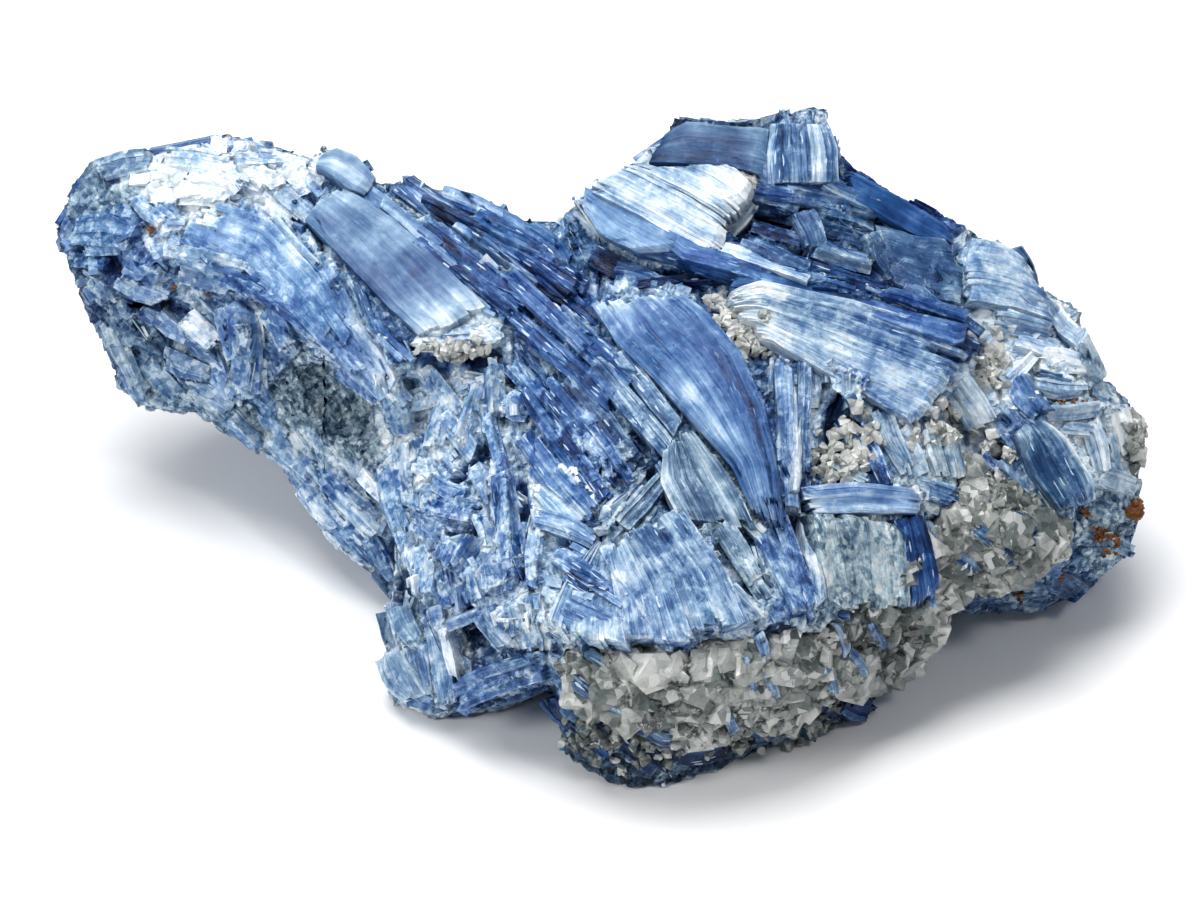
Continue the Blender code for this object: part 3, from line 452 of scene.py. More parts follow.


# Crevices between the blades: two ends (u, v) and how wide the gap is.
# Along the crevices the rock is pressed in, and also painted darker and less frosted: painted shade.
CREVICES = [
    (-27.6, 13.6, -21.4, 10.6, 1.3), (-21.0, 12.4, -14.0, 11.6, 1.3), (-11.0, -4.6, -10.2, -12.6, 0.8),
    (-19.6, -3.6, -15.4, 0.6, 0.7), (-20.0, -11.8, -14.4, -10.4, 0.8), (-5.2, -12.6, -0.4, -13.0, 0.7),
    (26.2, -9.8, 29.2, -16.4, 1.3), (20.4, 29.4, 28.0, 33.0, 1.4), (8.6, 39.6, 18.2, 39.4, 1.0),
    (-42.2, 33.6, -40.8, 31.6, 1.0), (-72.0, 26.4, -67.0, 25.4, 1.3), (-63.6, 20.6, -60.0, 19.4, 1.3),
    (-30.0, -16.2, -27.0, -19.2, 1.6), (56.6, 25.2, 59.0, 22.8, 1.1), (5.0, 2.6, 12.0, -3.4, 0.8),
    (33.4, 4.2, 38.6, -5.2, 0.8), (42.4, 26.8, 48.6, 27.8, 0.8), (7.0, -3.0, 9.2, -7.0, 0.7),
    (20.2, -11.4, 21.6, -13.4, 1.3), (19.0, 35.6, 25.0, 35.6, 1.0), (22.0, 27.4, 36.0, 24.6, 1.0),
    (-18.4, -21.0, -17.6, -24.0, 0.7), (31.0, -3.0, 31.6, 6.0, 1.0), (46.0, -2.0, 47.0, 5.0, 1.0),
    (-57.0, 24.6, -50.0, 23.0, 1.0),
]
CREVICE_DEPTH = 1.5


def crevice(spots):
    """How deep in a crevice each place is, from 0 to 1."""
    u, v = (spots - MIDDLE) @ ALONG, (spots - MIDDLE) @ UP
    deepest = np.zeros(len(spots))
    for u0, v0, u1, v1, width in CREVICES:
        run = np.array([u1 - u0, v1 - v0])
        share = np.clip(((u - u0) * run[0] + (v - v0) * run[1]) / (run @ run), 0.0, 1.0)
        gap = np.hypot(u - u0 - share * run[0], v - v0 - share * run[1])
        deepest = np.maximum(deepest, np.exp(-((gap / width) ** 2)))
    return deepest


def closed_copy(node, name, grain, between=None):
    """A copy of a solid with small even facets, or of the length of it between two x."""
    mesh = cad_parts[node].data.copy()
    piece = bpy.data.objects.new(name, mesh)
    bpy.context.scene.collection.objects.link(piece)
    bpy.context.view_layer.objects.active = piece
    piece.select_set(True)
    bpy.ops.object.mode_set(mode="EDIT")
    bpy.ops.mesh.select_all(action="SELECT")
    bpy.ops.mesh.remove_doubles(threshold=0.01 * MM)
    for x, side in zip(between or (), (-1.0, 1.0)):
        bpy.ops.mesh.select_all(action="SELECT")
        bpy.ops.mesh.bisect(
            plane_co=(x * MM, 0.0, 0.0), plane_no=(side, 0.0, 0.0), use_fill=True, clear_outer=True
        )
    bpy.ops.object.mode_set(mode="OBJECT")
    remesh = piece.modifiers.new("grain", "REMESH")
    remesh.mode = "VOXEL"
    remesh.voxel_size = grain * MM
    bpy.ops.object.modifier_apply(modifier=remesh.name)
    piece.select_set(False)
    return piece


def spots_of(mesh):
    """A mesh's points in millimetres and the directions its skin faces there."""
    spots = np.empty(len(mesh.vertices) * 3, np.float32)
    mesh.vertices.foreach_get("co", spots)
    normals = np.empty(len(mesh.vertices) * 3, np.float32)
    mesh.vertex_normals.foreach_get("vector", normals)
    return spots.reshape(-1, 3).astype(float) / MM, normals.reshape(-1, 3).astype(float)


def put_back(mesh, moved):
    moved[:, 2] = np.maximum(moved[:, 2], 0.0)
    mesh.vertices.foreach_set("co", (moved * MM).astype(np.float32).ravel())
    mesh.polygons.foreach_set("use_smooth", [False] * len(mesh.polygons))
    mesh.update()


def dress(mesh, grain, shades):
    """Writes the grain map (millimetres along and across the blades) and the four shade values."""
    corners = np.empty(len(mesh.loops), np.int32)
    mesh.loops.foreach_get("vertex_index", corners)
    layer = mesh.uv_layers.new(name="grain")
    layer.data.foreach_set("uv", grain[corners].astype(np.float32).ravel())
    for column, title in enumerate(SHADES):
        values = mesh.attributes.new(title, "FLOAT", "POINT")
        values.data.foreach_set("value", shades[:, column].astype(np.float32))


ROCK_SPOTS, ROCK_NORMALS = [], []
for part in range(len(ROCK_CUTS) - 1):
    cut = (ROCK_CUTS[part] - ROCK_OVERLAP, ROCK_CUTS[part + 1] + ROCK_OVERLAP)
    rock = closed_copy("kyanite_blades", f"crushed_kyanite_{part + 1}", ROCK_GRAIN, cut)
    spots, normals = spots_of(rock.data)
    moved, grain, shades = spots.copy(), np.zeros((len(spots), 2)), np.zeros((len(spots), 4))
    cracks = np.where(normals @ OUT > LOOKS_OUT, crevice(spots), 0.0)
    for number, (spot, normal) in enumerate(zip(spots, normals)):
        run, spread, tint, grey, frost, length, width = growth(spot, normal)
        run = run / math.sqrt(float(run @ run))
        across = np.cross((0.31, -0.77, 0.55), run)
        across /= math.sqrt(float(across @ across))
        axes = (run, across, np.cross(run, across))
        fibre = min(1.0, max(0.15, 1.25 - spread / GRANULAR))
        big, own = stepped(spot, axes, length, width, 0.60, 0.9, 0.30)
        small, _ = stepped(spot, axes, 0.34 * length + 0.5, 0.34 * width + 0.2, 0.22, 0.3, 0.12)
        crumb = 0.16 * noise.noise(Vector(spot) / 0.8)
        sunk = float(cracks[number])
        moved[number] = spot + normal * (big + small + crumb - ROCK_SET_IN - CREVICE_DEPTH * sunk)
        grain[number] = (float(spot @ run), float(spot @ across) + float(spot @ axes[2]))
        # Lower blocks and crevices are painted darker, and crevices less frosted: painted shade. own is the
        # block's own tone.
        tint += 0.24 * own + 0.35 * min(0.0, big) - 0.5 * sunk + 0.02
        shades[number] = (tint, min(1.0, grey + 0.10), frost + 0.2 - sunk, fibre)
    put_back(rock.data, moved)
    dress(rock.data, grain, shades)
    rock.data.materials.clear()
    rock.data.materials.append(KYANITE_GRANULAR)
    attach(rock, "root")
    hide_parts("kyanite_blades")
    inside = np.abs(normals[:, 0]) < 0.999  # leaves out the two cut ends
    ROCK_SPOTS.append(spots[inside])
    ROCK_NORMALS.append(normals[inside])
ROCK_SPOTS, ROCK_NORMALS = np.concatenate(ROCK_SPOTS), np.concatenate(ROCK_NORMALS)
spot_tree = kdtree.KDTree(len(ROCK_SPOTS))
for number, spot in enumerate(ROCK_SPOTS):
    spot_tree.insert(Vector(spot), number)
spot_tree.balance()


def soft_normal(place, reach=3.0):
    """The rock's outward direction around a place, its small steps evened out."""
    near = [number for _, number, _ in spot_tree.find_range(Vector(place), reach)]
    return unit(ROCK_NORMALS[near].sum(0)) if near else ROCK_NORMALS[spot_tree.find(Vector(place))[1]]


# ---------------------------------------------------------------------------------------------
# Splinters. Kyanite splits along its length into flat pointed laths. A few are modelled here,
# 1 long, 1 wide and 1 deep. They cover the rock between the large blades in small bundles, lying
# the way the blades grew there, tilted a little so that their ends stand out.
def read_master(obj):
    """A modelled lath or grain as arrays: its points, its triangles, and 1 at its two ends."""
    mesh = obj.data
    mesh.calc_loop_triangles()
    points = np.array([vertex.co for vertex in mesh.vertices])
    faces = np.array([triangle.vertices for triangle in mesh.loop_triangles])
    ends = ((points[:, 0] < 0.02) | (points[:, 0] > 0.90)).astype(float)
    bpy.data.objects.remove(obj, do_unlink=True)
    return points, faces, ends


def select_where(obj, test):
    """Selects, in edit mode, the corners whose place passes a test."""
    bpy.ops.object.mode_set(mode="OBJECT")
    for vertex in obj.data.vertices:
        vertex.select = bool(test(vertex.co))
    bpy.ops.object.mode_set(mode="EDIT")


def lath_master(cuts, skews, slopes, point_width=1.0, hump=0.0):
    """One lath: cut across at some places, its ends turned (skews) and sloped back (slopes)."""
    bpy.ops.mesh.primitive_cube_add(size=1.0, location=(0.5, 0.0, -0.5))
    lath = bpy.context.object
    bpy.ops.object.transform_apply(location=True, rotation=True, scale=True)
    bpy.ops.object.mode_set(mode="EDIT")
    bpy.ops.mesh.select_mode(type="VERT")
    for cut in cuts:
        bpy.ops.mesh.select_all(action="SELECT")
        bpy.ops.mesh.bisect(plane_co=(cut, 0.0, 0.0), plane_no=(1.0, 0.0, 0.0))
    for end, skew, slope in zip((0.0, 1.0), skews, slopes):
        for side in (-0.5, 0.5):
            select_where(lath, lambda co: abs(co.x - end) < 0.01 and co.y * side > 0.0)
            bpy.ops.transform.translate(value=(skew * side, 0.0, 0.0))
        select_where(lath, lambda co: abs(co.x - end) < 0.3 * abs(skew) + 0.01 and co.z < -0.5)
        bpy.ops.transform.translate(value=(slope, 0.0, 0.0))
    if point_width < 1.0:
        select_where(lath, lambda co: co.x > 0.9)
        bpy.ops.transform.resize(value=(1.0, point_width, 1.0), center_override=(1.0, 0.0, 0.0))
    if hump:
        for number, cut in enumerate(cuts):
            select_where(lath, lambda co: abs(co.x - cut) < 0.01 and co.z > -0.5)
            bpy.ops.transform.translate(value=(0.0, 0.0, hump * (-1.0) ** number))
    bpy.ops.object.mode_set(mode="OBJECT")
    return read_master(lath)


CHIPS = [
    lath_master((), (0.24, -0.34), (0.05, -0.10), 0.7),
    lath_master((), (-0.34, 0.20), (0.0, -0.16), 0.3),
    lath_master((0.55,), (0.12, 0.34), (0.04, -0.06), 0.1, hump=0.05),
]


class Sheaf:
    """Many laths, sheets or grains gathered into one piece."""

    def __init__(self):
        self.points, self.faces, self.grain, self.shades = [], [], [], []
        self.count = 0

    def gather(self, points, faces, grain, shades):
        self.points.append(points)
        self.faces.append(faces + self.count)
        self.grain.append(grain)
        self.shades.append(shades)
        self.count += len(points)

    def lay(self, master, start, end, outward, width, depth_down, tint, grey, frost, fibre, chance):
        """Lays one lath from start to end. outward is which way its flat face looks."""
        points, faces, ends = master
        share = points[:, 0:1]
        run = unit(end - start)
        across = unit(np.cross(outward, run))
        made = start * (1.0 - share) + end * share
        made += across * (points[:, 1:2] * width)
        made += np.cross(run, across) * points[:, 2:3] * depth_down
        made += np.array([noise.noise_vector(Vector(spot) / 0.9) for spot in made]) * 0.2
        made[:, 2] = np.maximum(made[:, 2], 0.0)
        length = float(np.linalg.norm(end - start))
        origin = chance.uniform(0.0, 900.0), chance.uniform(0.0, 900.0)
        grain = np.stack([origin[0] + points[:, 0] * length, origin[1] + points[:, 1] * width], 1)
        grain[:, 1] -= points[:, 2] * depth_down
        shades = np.tile((tint, grey, frost, fibre), (len(points), 1))
        shades += ends[:, None] * (0.03, 0.0, 0.20, 0.0)
        self.gather(made, faces, grain, shades)

    def drop(self, master, place, size, tint, grey, frost, chance):
        """Drops one grain at a place, turned at random. size is its three half-widths."""
        points, faces, _ = master
        turn = np.array([[chance.gauss(0.0, 1.0) for _ in range(3)] for _ in range(3)])
        turn = np.linalg.qr(turn)[0]
        turn *= np.sign(np.linalg.det(turn))
        shaped = points * np.asarray(size)
        made = place + shaped @ turn.T
        made[:, 2] = np.maximum(made[:, 2], 0.0)
        grain = shaped[:, :2] + chance.uniform(0.0, 900.0)
        self.gather(made, faces, grain, np.tile((tint, grey, frost, 0.0), (len(points), 1)))

    def finish(self, name, material):
        """Makes the piece and puts it on the specimen."""
        points = np.concatenate(self.points) * MM
        faces = np.concatenate(self.faces)
        mesh = bpy.data.meshes.new(name)
        mesh.vertices.add(len(points))
        mesh.vertices.foreach_set("co", points.astype(np.float32).ravel())
        mesh.loops.add(faces.size)
        mesh.loops.foreach_set("vertex_index", faces.astype(np.int32).ravel())
        mesh.polygons.add(len(faces))
        mesh.polygons.foreach_set("loop_start", np.arange(0, faces.size, 3, dtype=np.int32))
        mesh.polygons.foreach_set("use_smooth", [False] * len(faces))
        mesh.update(calc_edges=True)
        dress(mesh, np.concatenate(self.grain), np.concatenate(self.shades))
        mesh.materials.append(material)
        piece = bpy.data.objects.new(name, mesh)
        bpy.context.scene.collection.objects.link(piece)
        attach(piece, "root")


def turned(direction, normal, degrees):
    """A direction in the skin turned about the skin's normal."""
    flat = direction - normal * float(np.dot(direction, normal))
    flat = unit(flat) if np.linalg.norm(flat) > 1e-3 else unit(np.cross(normal, (0.3, 0.5, 0.8)))
    angle = math.radians(degrees)
    return flat * math.cos(angle) + np.cross(normal, flat) * math.sin(angle)


STRAY = 0.5  # how far off the skin a splinter's end may come
SUNK = 0.05  # how far under the skin a splinter lies, give or take


def strays(ends):
    return max(SKIN.find_nearest(Vector(end))[3] for end in ends) > STRAY


def scatter(name, places, seed, size=1.0):
    """Lays splinters at some of the places, more of them where the blades are frosted."""
    chance = random.Random(seed)
    sheaf = Sheaf()
    for place, normal in places:
        run, spread, tint, grey, frost, length, width = growth(place, normal)
        if chance.random() > 0.35 + 1.3 * frost:
            continue
        run = turned(run, normal, chance.gauss(0.0, 0.55 * spread))
        side = np.cross(normal, run)
        pitch = math.radians(chance.gauss(0.0, 5.0))
        roll = math.radians(chance.gauss(0.0, 10.0))
        outward = unit(normal + side * math.tan(roll))
        run = unit(run + normal * math.tan(pitch))
        reach = size * length * chance.uniform(0.30, 1.0)
        count = chance.randint(1, 2)
        wide = size * width * chance.uniform(0.5, 1.1) / count
        shade = chance.gauss(0.0, 0.07)
        for strip in range(count):
            middle = place + side * (strip - (count - 1) / 2.0) * wide
            middle = middle + normal * (chance.uniform(-0.25, 0.25) - SUNK)
            ahead = reach * chance.uniform(0.30, 0.55)
            behind = reach * chance.uniform(0.30, 0.55)
            ends = (middle - run * behind, middle + run * ahead)
            if strays(ends):
                ends = (middle - run * behind * 0.4, middle + run * ahead * 0.4)
            if strays(ends):
                continue
            sheaf.lay(
                CHIPS[chance.randrange(len(CHIPS))], *ends, outward, wide * 1.12,
                chance.uniform(0.9, 1.6), tint + shade + chance.gauss(0.0, 0.04), grey,
                frost * chance.uniform(0.3, 1.0), 1.1 - spread / GRANULAR, chance,
            )
    sheaf.finish(name, KYANITE_CLEAVED)


def spread_places(count, seed, keep):
    """Places spread evenly over the rock's skin, with the skin's direction there."""
    chance = np.random.RandomState(seed)
    order = chance.permutation(len(ROCK_SPOTS))[:count]
    found = []
    for number in order:
        spot = ROCK_SPOTS[number].astype(float)
        normal = soft_normal(spot, 1.6).astype(float)
        if keep(spot, normal):
            found.append((spot, normal))
    return found


def faces_front(spot, normal):
    return float(np.dot(normal, OUT)) > LOOKS_OUT and spot[2] > 1.5


def faces_away(spot, normal):
    return float(np.dot(normal, OUT)) <= LOOKS_OUT and spot[2] > 1.5 and normal[2] > -0.6


def faces_under(spot, normal):
    return float(np.dot(normal, OUT)) <= LOOKS_OUT and spot[2] > 1.2 and normal[2] <= -0.6


AWAY = spread_places(4200, 12, faces_away)
BELOW = spread_places(3000, 13, faces_under)
scatter("face_splinters", spread_places(1700, 11, faces_front), 1)
scatter("back_splinters", AWAY[: len(AWAY) // 2], 2, size=1.3)
scatter("under_splinters", BELOW[: len(BELOW) // 2], 3, size=1.3)


# ---------------------------------------------------------------------------------------------
# Blades of the broad face. A row gives a blade's two ends (u, v), its width, its tint and, where it
# is greyer than its neighbours, its grey. Each is laid as flat laths side by side on the skin,
# with ragged ends and thin sheets that have split off part way along.
STEP_ALONG, STEP_ACROSS = 0.7, 0.33  # how far apart the points of a sheet are
SHEET_DEPTH = 2.2
LATH_GAP = 0.01  # the crack between two laths of a sheet is twice this
LATH_WIDTHS = (0.4, 0.5, 0.7, 0.9, 1.3, 2.0)  # how wide the laths are that a sheet splits into


def cleaved(x, y, seed):
    """Relief of a cleaved face: thin sheets split off in long steps, with fine lines along them."""
    sheets = noise.noise(Vector((x / 13.0, y / 1.1, seed)))
    lines = noise.noise(Vector((x / 9.0, y / 0.45, seed + 40.0)))
    chips = noise.noise(Vector((x / 1.8, y / 0.9, seed + 80.0)))
    return 0.42 * round(sheets * 4.0) / 4.0 + 0.07 * lines + 0.06 * chips


def along_line(line, shares):
    """Points at these shares of the way along a line of (u, v) places."""
    line = np.array(line, float)
    gaps = np.concatenate([[0.0], np.cumsum(np.linalg.norm(np.diff(line, axis=0), axis=1))])
    gaps /= gaps[-1]
    return np.stack([np.interp(shares, gaps, line[:, i]) for i in range(2)], 1)


def lay_sheet(sheaf, bed, left, right, tint, grey, frost, chance, lift=0.5, ragged=0.12, bow=0.0,
              roll=0.0, relief=1.0, sheet_depth=SHEET_DEPTH, fibre=1.0, follow=0.8, coarse=1.0):
    """One blade from its left edge line to its right one: a closed sheet with a cleaved top.

    It lies flat on its bed, and bends down where the skin falls away by more than follow.
    """
    shares = np.linspace(0, 1, 9)
    spine = along_line(left, shares) * 0.5 + along_line(right, shares) * 0.5
    length = float(np.linalg.norm(np.diff(spine, axis=0), axis=1).sum())
    gaps = along_line(left, [0.1, 0.5, 0.9]) - along_line(right, [0.1, 0.5, 0.9])
    width = float(np.linalg.norm(gaps, axis=1).max())
    rows = max(5, round(length / STEP_ALONG / coarse))
    seed = chance.uniform(0.0, 900.0)
    skews = [chance.gauss(0.0, 0.25 * width / length) for _ in range(2)]
    slopes = math.tan(roll), chance.gauss(0.0, 0.02)
    columns = []
    reached = 0.0
    while reached < 1.0:
        across = min(1.0, reached + chance.choice(LATH_WIDTHS) * chance.uniform(0.8, 1.3) / width)
        if (1.0 - across) * width < LATH_WIDTHS[0]:
            across = 1.0
        lath = [chance.random() ** 2, chance.random() ** 2]  # how far its two ends are broken back
        lath += [chance.gauss(0.0, 0.07), chance.gauss(0.0, 0.07)]  # its height and its tilt
        steps = max(1, round((across - reached) * width / STEP_ACROSS / coarse))
        first, wide = reached + LATH_GAP / width, across - reached - 2.0 * (LATH_GAP / width)
        columns += [(first + wide * i / steps, lath) for i in range(steps + 1)]
        reached = across
    points, grain, shades = [], [], []
    for s, (back, short, height, tilt) in columns:
        first = ragged * back + skews[0] * (s - 0.5) + 0.01 * chance.random()
        last = 1.0 - ragged * short + skews[1] * (s - 0.5) - 0.01 * chance.random()
        ways = np.clip(np.linspace(first, last, rows + 1), 0.0, 1.0)
        here = along_line(left, ways) * (1.0 - s) + along_line(right, ways) * s
        for t, (u, v) in zip(ways, here):
            x, y = t * length, s * width
            edge = min(y, width - y, (t - ways[0]) * length, (ways[-1] - t) * length)
            end = min((t - ways[0]) * length, (ways[-1] - t) * length)
            worn = max(0.0, 1.0 - edge / 0.35)
            rise = lift + bow * (1.0 - (2.0 * s - 1.0) ** 2) + relief * cleaved(x, y, seed)
            rise += relief * (height + tilt * math.sin(3.0 * y))
            rise += (s - 0.5) * width * slopes[0] + (t - 0.5) * length * slopes[1]
            rise -= worn * chance.uniform(0.0, 0.15) + 0.35 * lift * max(0.0, 1.0 - end / 1.2)
            stray = noise.noise_vector(Vector((x / 2.5, y / 2.5, seed))) * (0.04 + 0.06 * worn)
            place = bed.place(u + stray.x, v + stray.y, rise)
            over = bed.above(place, u, v) - lift - follow
            points.append(place + bed.fall * min(bed.bend, max(0.0, over)))
            grain.append((seed + x, seed + y))
            shade = tint(s, t) if callable(tint) else tint
            # Higher laths are painted paler and lower ones darker, painted light and shade; worn edges are
            # paler and more frosted.
            shades.append((shade + 0.6 * height + 0.03 * worn, grey, frost + 0.18 * worn, fibre))

    # The underside: the rim again, one sheet's depth down, drawn to its middle. Its rim and underside are
    # painted darker and less frosted: painted shade.
    across = rows + 1  # from a point to the next one across the blade
    last = (len(columns) - 1) * across
    top = len(points)
    rim = [*range(0, rows), *range(rows, last + rows, across)]
    rim += [*range(last + rows, last, -1), *range(last, 0, -across)]
    for corner in rim:
        points.append(points[corner] - bed.outward * sheet_depth)
        grain.append((grain[corner][0], grain[corner][1] + sheet_depth))
        shades.append((shades[corner][0] - 0.15, grey, frost * 0.5, fibre))
    faces = []
    for first in range(0, last, across):
        for a in range(first, first + rows):
            b = a + across
            faces += [(a, b, b + 1), (a, b + 1, a + 1)]
    for number, corner in enumerate(rim):
        after = (number + 1) % len(rim)
        faces += [(corner, rim[after], top + after), (corner, top + after, top + number)]
    middle = len(points)
    points.append(sum(points[top:], np.zeros(3)) / len(rim))
    grain.append(grain[top])
    shades.append(shades[top])
    faces += [(top + number, top + (number + 1) % len(rim), middle) for number in range(len(rim))]
    points, faces = np.array(points), np.array(faces)
    corners = points[faces[0]]
    if float(np.dot(np.cross(corners[1] - corners[0], corners[2] - corners[0]), bed.outward)) < 0.0:
        faces = faces[:, ::-1]
    points[:, 2] = np.maximum(points[:, 2], 0.0)
    sheaf.gather(points, faces, np.array(grain), np.array(shades))


def lay_blade(sheaf, row, chance, grey, frost, ragged, lift, fibre, relief):
    start, end, width, tint = np.array(row[0:2], float), np.array(row[2:4], float), row[4], row[5]
    grey = row[6] if len(row) > 6 else grey
    run = unit(end - start)
    across = np.array([-run[1], run[0]]) * width / 2.0
    bed = Bed([
        tuple(start + (end - start) * t + across * s)
        for t in (0.04, 0.27, 0.5, 0.73, 0.96) for s in (-0.72, 0.0, 0.72)
    ])
    bend = across * chance.gauss(0.0, 0.18)
    taper = chance.uniform(0.72, 1.0)
    middle = (start + end) / 2.0 + bend
    left = [start + across, middle + across * 1.06, end + across * taper]
    right = [start - across, middle - across * 1.06, end - across * taper]
    lay_sheet(
        sheaf, bed, left, right, tint + chance.gauss(0.0, 0.03), grey, frost, chance,
        lift=lift + chance.uniform(-0.2, 0.2), ragged=ragged, roll=math.radians(chance.gauss(0.0, 5.0)),
        fibre=fibre, relief=relief,
    )


def lay_blades(name, rows, seed, grey=0.1, frost=0.35, ragged=0.14, lift=0.40, fibre=1.0, relief=1.0,
               material=KYANITE_CLEAVED):
    chance = random.Random(seed)
    sheaf = Sheaf()
    for row in rows:
        lay_blade(sheaf, row, chance, grey, frost, ragged, lift, fibre, relief)
    sheaf.finish(name, material)


# The left end: a rounded knob of crushed blocks, with a navy blade under its lip that is painted shadow.
lay_blades("left_end_blades", [
    (-69.5, 38.6, -62.0, 40.2, 3.4, 0.55, 0.47), (-72.5, 29.5, -64.5, 29.0, 5.6, 0.49),
    # The first blade on the next line is navy as painted shadow under the lip.
    (-73.5, 26.3, -68.0, 25.6, 2.0, 0.19), (-72.0, 24.0, -67.0, 20.0, 2.4, 0.49, 0.52),
], 21, grey=0.22, ragged=0.16, lift=0.1, fibre=0.4, relief=0.9, material=KYANITE_GRANULAR)

# The left top: blades crushed to white granular faces, the palest part of the specimen; their near-white
# tint is partly a painted highlight of the lit top.
lay_blades("left_top_blades", [
    (-60.0, 40.4, -51.0, 39.4, 3.0, 0.79), (-57.5, 36.0, -49.5, 34.2, 5.0, 0.97),
    (-50.0, 41.0, -43.5, 41.0, 3.4, 0.71), (-55.0, 32.5, -48.0, 30.5, 3.6, 0.85),
    (-53.5, 38.5, -46.0, 37.0, 3.2, 0.91), (-44.0, 36.0, -38.0, 31.0, 2.8, 0.71),
    (-64.0, 35.0, -59.0, 31.0, 2.8, 0.67), (-46.5, 34.6, -42.0, 31.0, 2.2, 0.75),
], 22, frost=0.6, ragged=0.2, lift=0.1, fibre=0.4, relief=1.3, material=KYANITE_GRANULAR)

# The left ridge: long periwinkle blades that run down to the middle, royal blue along their edge.
lay_blades("left_ridge_blades", [
    (-48.0, 25.0, -31.0, 11.5, 4.4, 0.53), (-48.5, 22.6, -35.0, 13.4, 1.8, 0.25),
    (-39.5, 19.5, -26.6, 5.8, 4.4, 0.59), (-45.5, 31.5, -38.5, 24.0, 3.2, 0.59),
    (-37.5, 25.0, -33.5, 16.5, 2.8, 0.57), (-34.0, 17.0, -27.5, 8.5, 2.2, 0.69),
    (-36.0, 11.0, -30.0, 6.6, 1.4, 0.23), (-33.0, 12.5, -27.0, 6.4, 1.6, 0.77),
], 23, frost=0.45, fibre=0.6, relief=0.7)

# Along the upper side of the grey slab: two thin blades that have split off it.
lay_blades("grey_slab_blades", [
    (-33.0, 35.6, -22.0, 27.5, 3.0, 0.64), (-30.0, 33.6, -19.0, 24.6, 1.2, 0.66, 0.30),
], 24, grey=0.25, frost=0.2, ragged=0.08, fibre=0.4)

# The parallel sheaf: the longest straight blades, navy between paler ones, down to the centre.
lay_blades("parallel_blades", [
    (-27.5, 36.6, -12.0, 25.8, 2.4, 0.51), (-13.0, 26.6, -3.5, 20.2, 2.4, 0.17),
    (-25.5, 30.6, -9.0, 17.8, 4.2, 0.27), (-24.0, 33.6, -15.6, 28.0, 1.8, -0.01),
    (-17.5, 32.8, -6.5, 27.2, 3.4, 0.41), (-15.0, 29.6, -2.0, 21.8, 2.8, 0.29),
    (-12.5, 23.5, -1.5, 13.5, 2.8, 0.33), (-11.5, 17.5, 2.0, 6.0, 2.8, 0.29),
    (-6.5, 19.5, 4.5, 9.0, 3.0, 0.35), (-22.0, 35.3, -13.0, 31.5, 2.4, 0.53),
    (-10.0, 30.5, -4.0, 26.0, 2.2, 0.39), (-20.0, 25.5, -10.0, 17.6, 1.8, 0.13),
    (-28.0, 29.2, -15.0, 18.9, 1.2, 0.57), (-14.0, 20.5, -3.0, 10.6, 2.0, 0.43),
    (-9.0, 25.0, 0.0, 17.0, 2.0, 0.21), (-20.5, 31.2, -8.0, 22.6, 1.4, 0.53),
    (-4.0, 15.4, 5.6, 5.6, 1.6, 0.49),
], 25, frost=0.18, ragged=0.07)

# The shaded left side: short blades at many angles, greyer, with an upright blue one.
lay_blades("left_side_blades", [
    (-68.0, 18.0, -63.6, 8.2, 2.4, 0.75, 0.50), (-61.0, 18.4, -56.8, 15.4, 2.2, 0.65),
    (-57.0, 18.6, -52.6, 14.6, 2.8, 0.89), (-58.5, 27.0, -48.0, 24.4, 3.0, 0.59, 0.35),
    (-66.5, 24.0, -59.5, 20.6, 3.2, 0.57, 0.40), (-49.2, 19.8, -48.4, 6.8, 4.2, 0.57),
    (-45.6, 19.4, -42.6, 14.2, 3.0, 0.59), (-60.5, 13.0, -54.0, 10.4, 3.0, 0.65, 0.30),
    (-53.0, 24.4, -46.5, 21.2, 1.8, 0.41), (-58.0, 24.2, -50.0, 22.0, 2.4, 0.57, 0.30),
    (-63.0, 12.0, -58.0, 7.0, 2.8, 0.67, 0.35), (-54.0, 13.5, -50.5, 7.0, 2.4, 0.51),
    (-56.0, 9.0, -51.0, 5.5, 2.4, 0.65, 0.30), (-46.8, 19.0, -46.2, 8.0, 1.0, 0.95),
    (-60.0, 27.4, -50.5, 26.0, 1.6, 0.71, 0.40), (-66.0, 12.0, -63.0, 6.0, 2.0, 0.63, 0.30),
    (-57.5, 16.0, -53.0, 11.8, 2.0, 0.59, 0.30), (-63.5, 19.0, -58.5, 16.6, 1.8, 0.51, 0.20),
    (-52.5, 19.5, -50.5, 12.0, 1.8, 0.65),
], 26, frost=0.3, ragged=0.10, lift=0.25, fibre=0.4, relief=0.6, material=KYANITE_GRANULAR)

# The lower left edge: blades that point down and right along the overhang.
lay_blades("lower_left_blades", [
    (-51.0, 5.2, -46.4, 0.2, 1.6, 0.70), (-45.6, 2.0, -39.8, -3.6, 2.2, 0.70),
    (-44.5, 0.4, -37.0, -9.6, 2.8, 0.60), (-38.6, -3.2, -29.4, -11.0, 3.0, 0.58),
    (-33.0, -3.0, -29.4, -6.8, 1.6, 0.96), (-39.2, -6.4, -33.4, -13.6, 2.8, 0.60),
    (-34.6, -9.2, -30.0, -15.8, 3.0, 0.56), (-29.5, -2.0, -26.5, -12.0, 3.2, 0.64),
    (-42.0, -1.0, -35.0, -6.4, 2.0, 0.48), (-37.0, -6.0, -31.0, -12.0, 2.0, 0.70),
    (-32.0, -12.0, -28.5, -18.0, 2.4, 0.54), (-47.5, 5.0, -43.0, 1.0, 2.0, 0.58),
    (-41.5, -5.4, -36.5, -11.0, 1.4, 0.78), (-48.0, 9.0, -44.0, 4.0, 2.2, 0.52),
], 27, grey=0.20, frost=0.4, ragged=0.12, lift=0.3, fibre=0.6, material=KYANITE_GRANULAR)

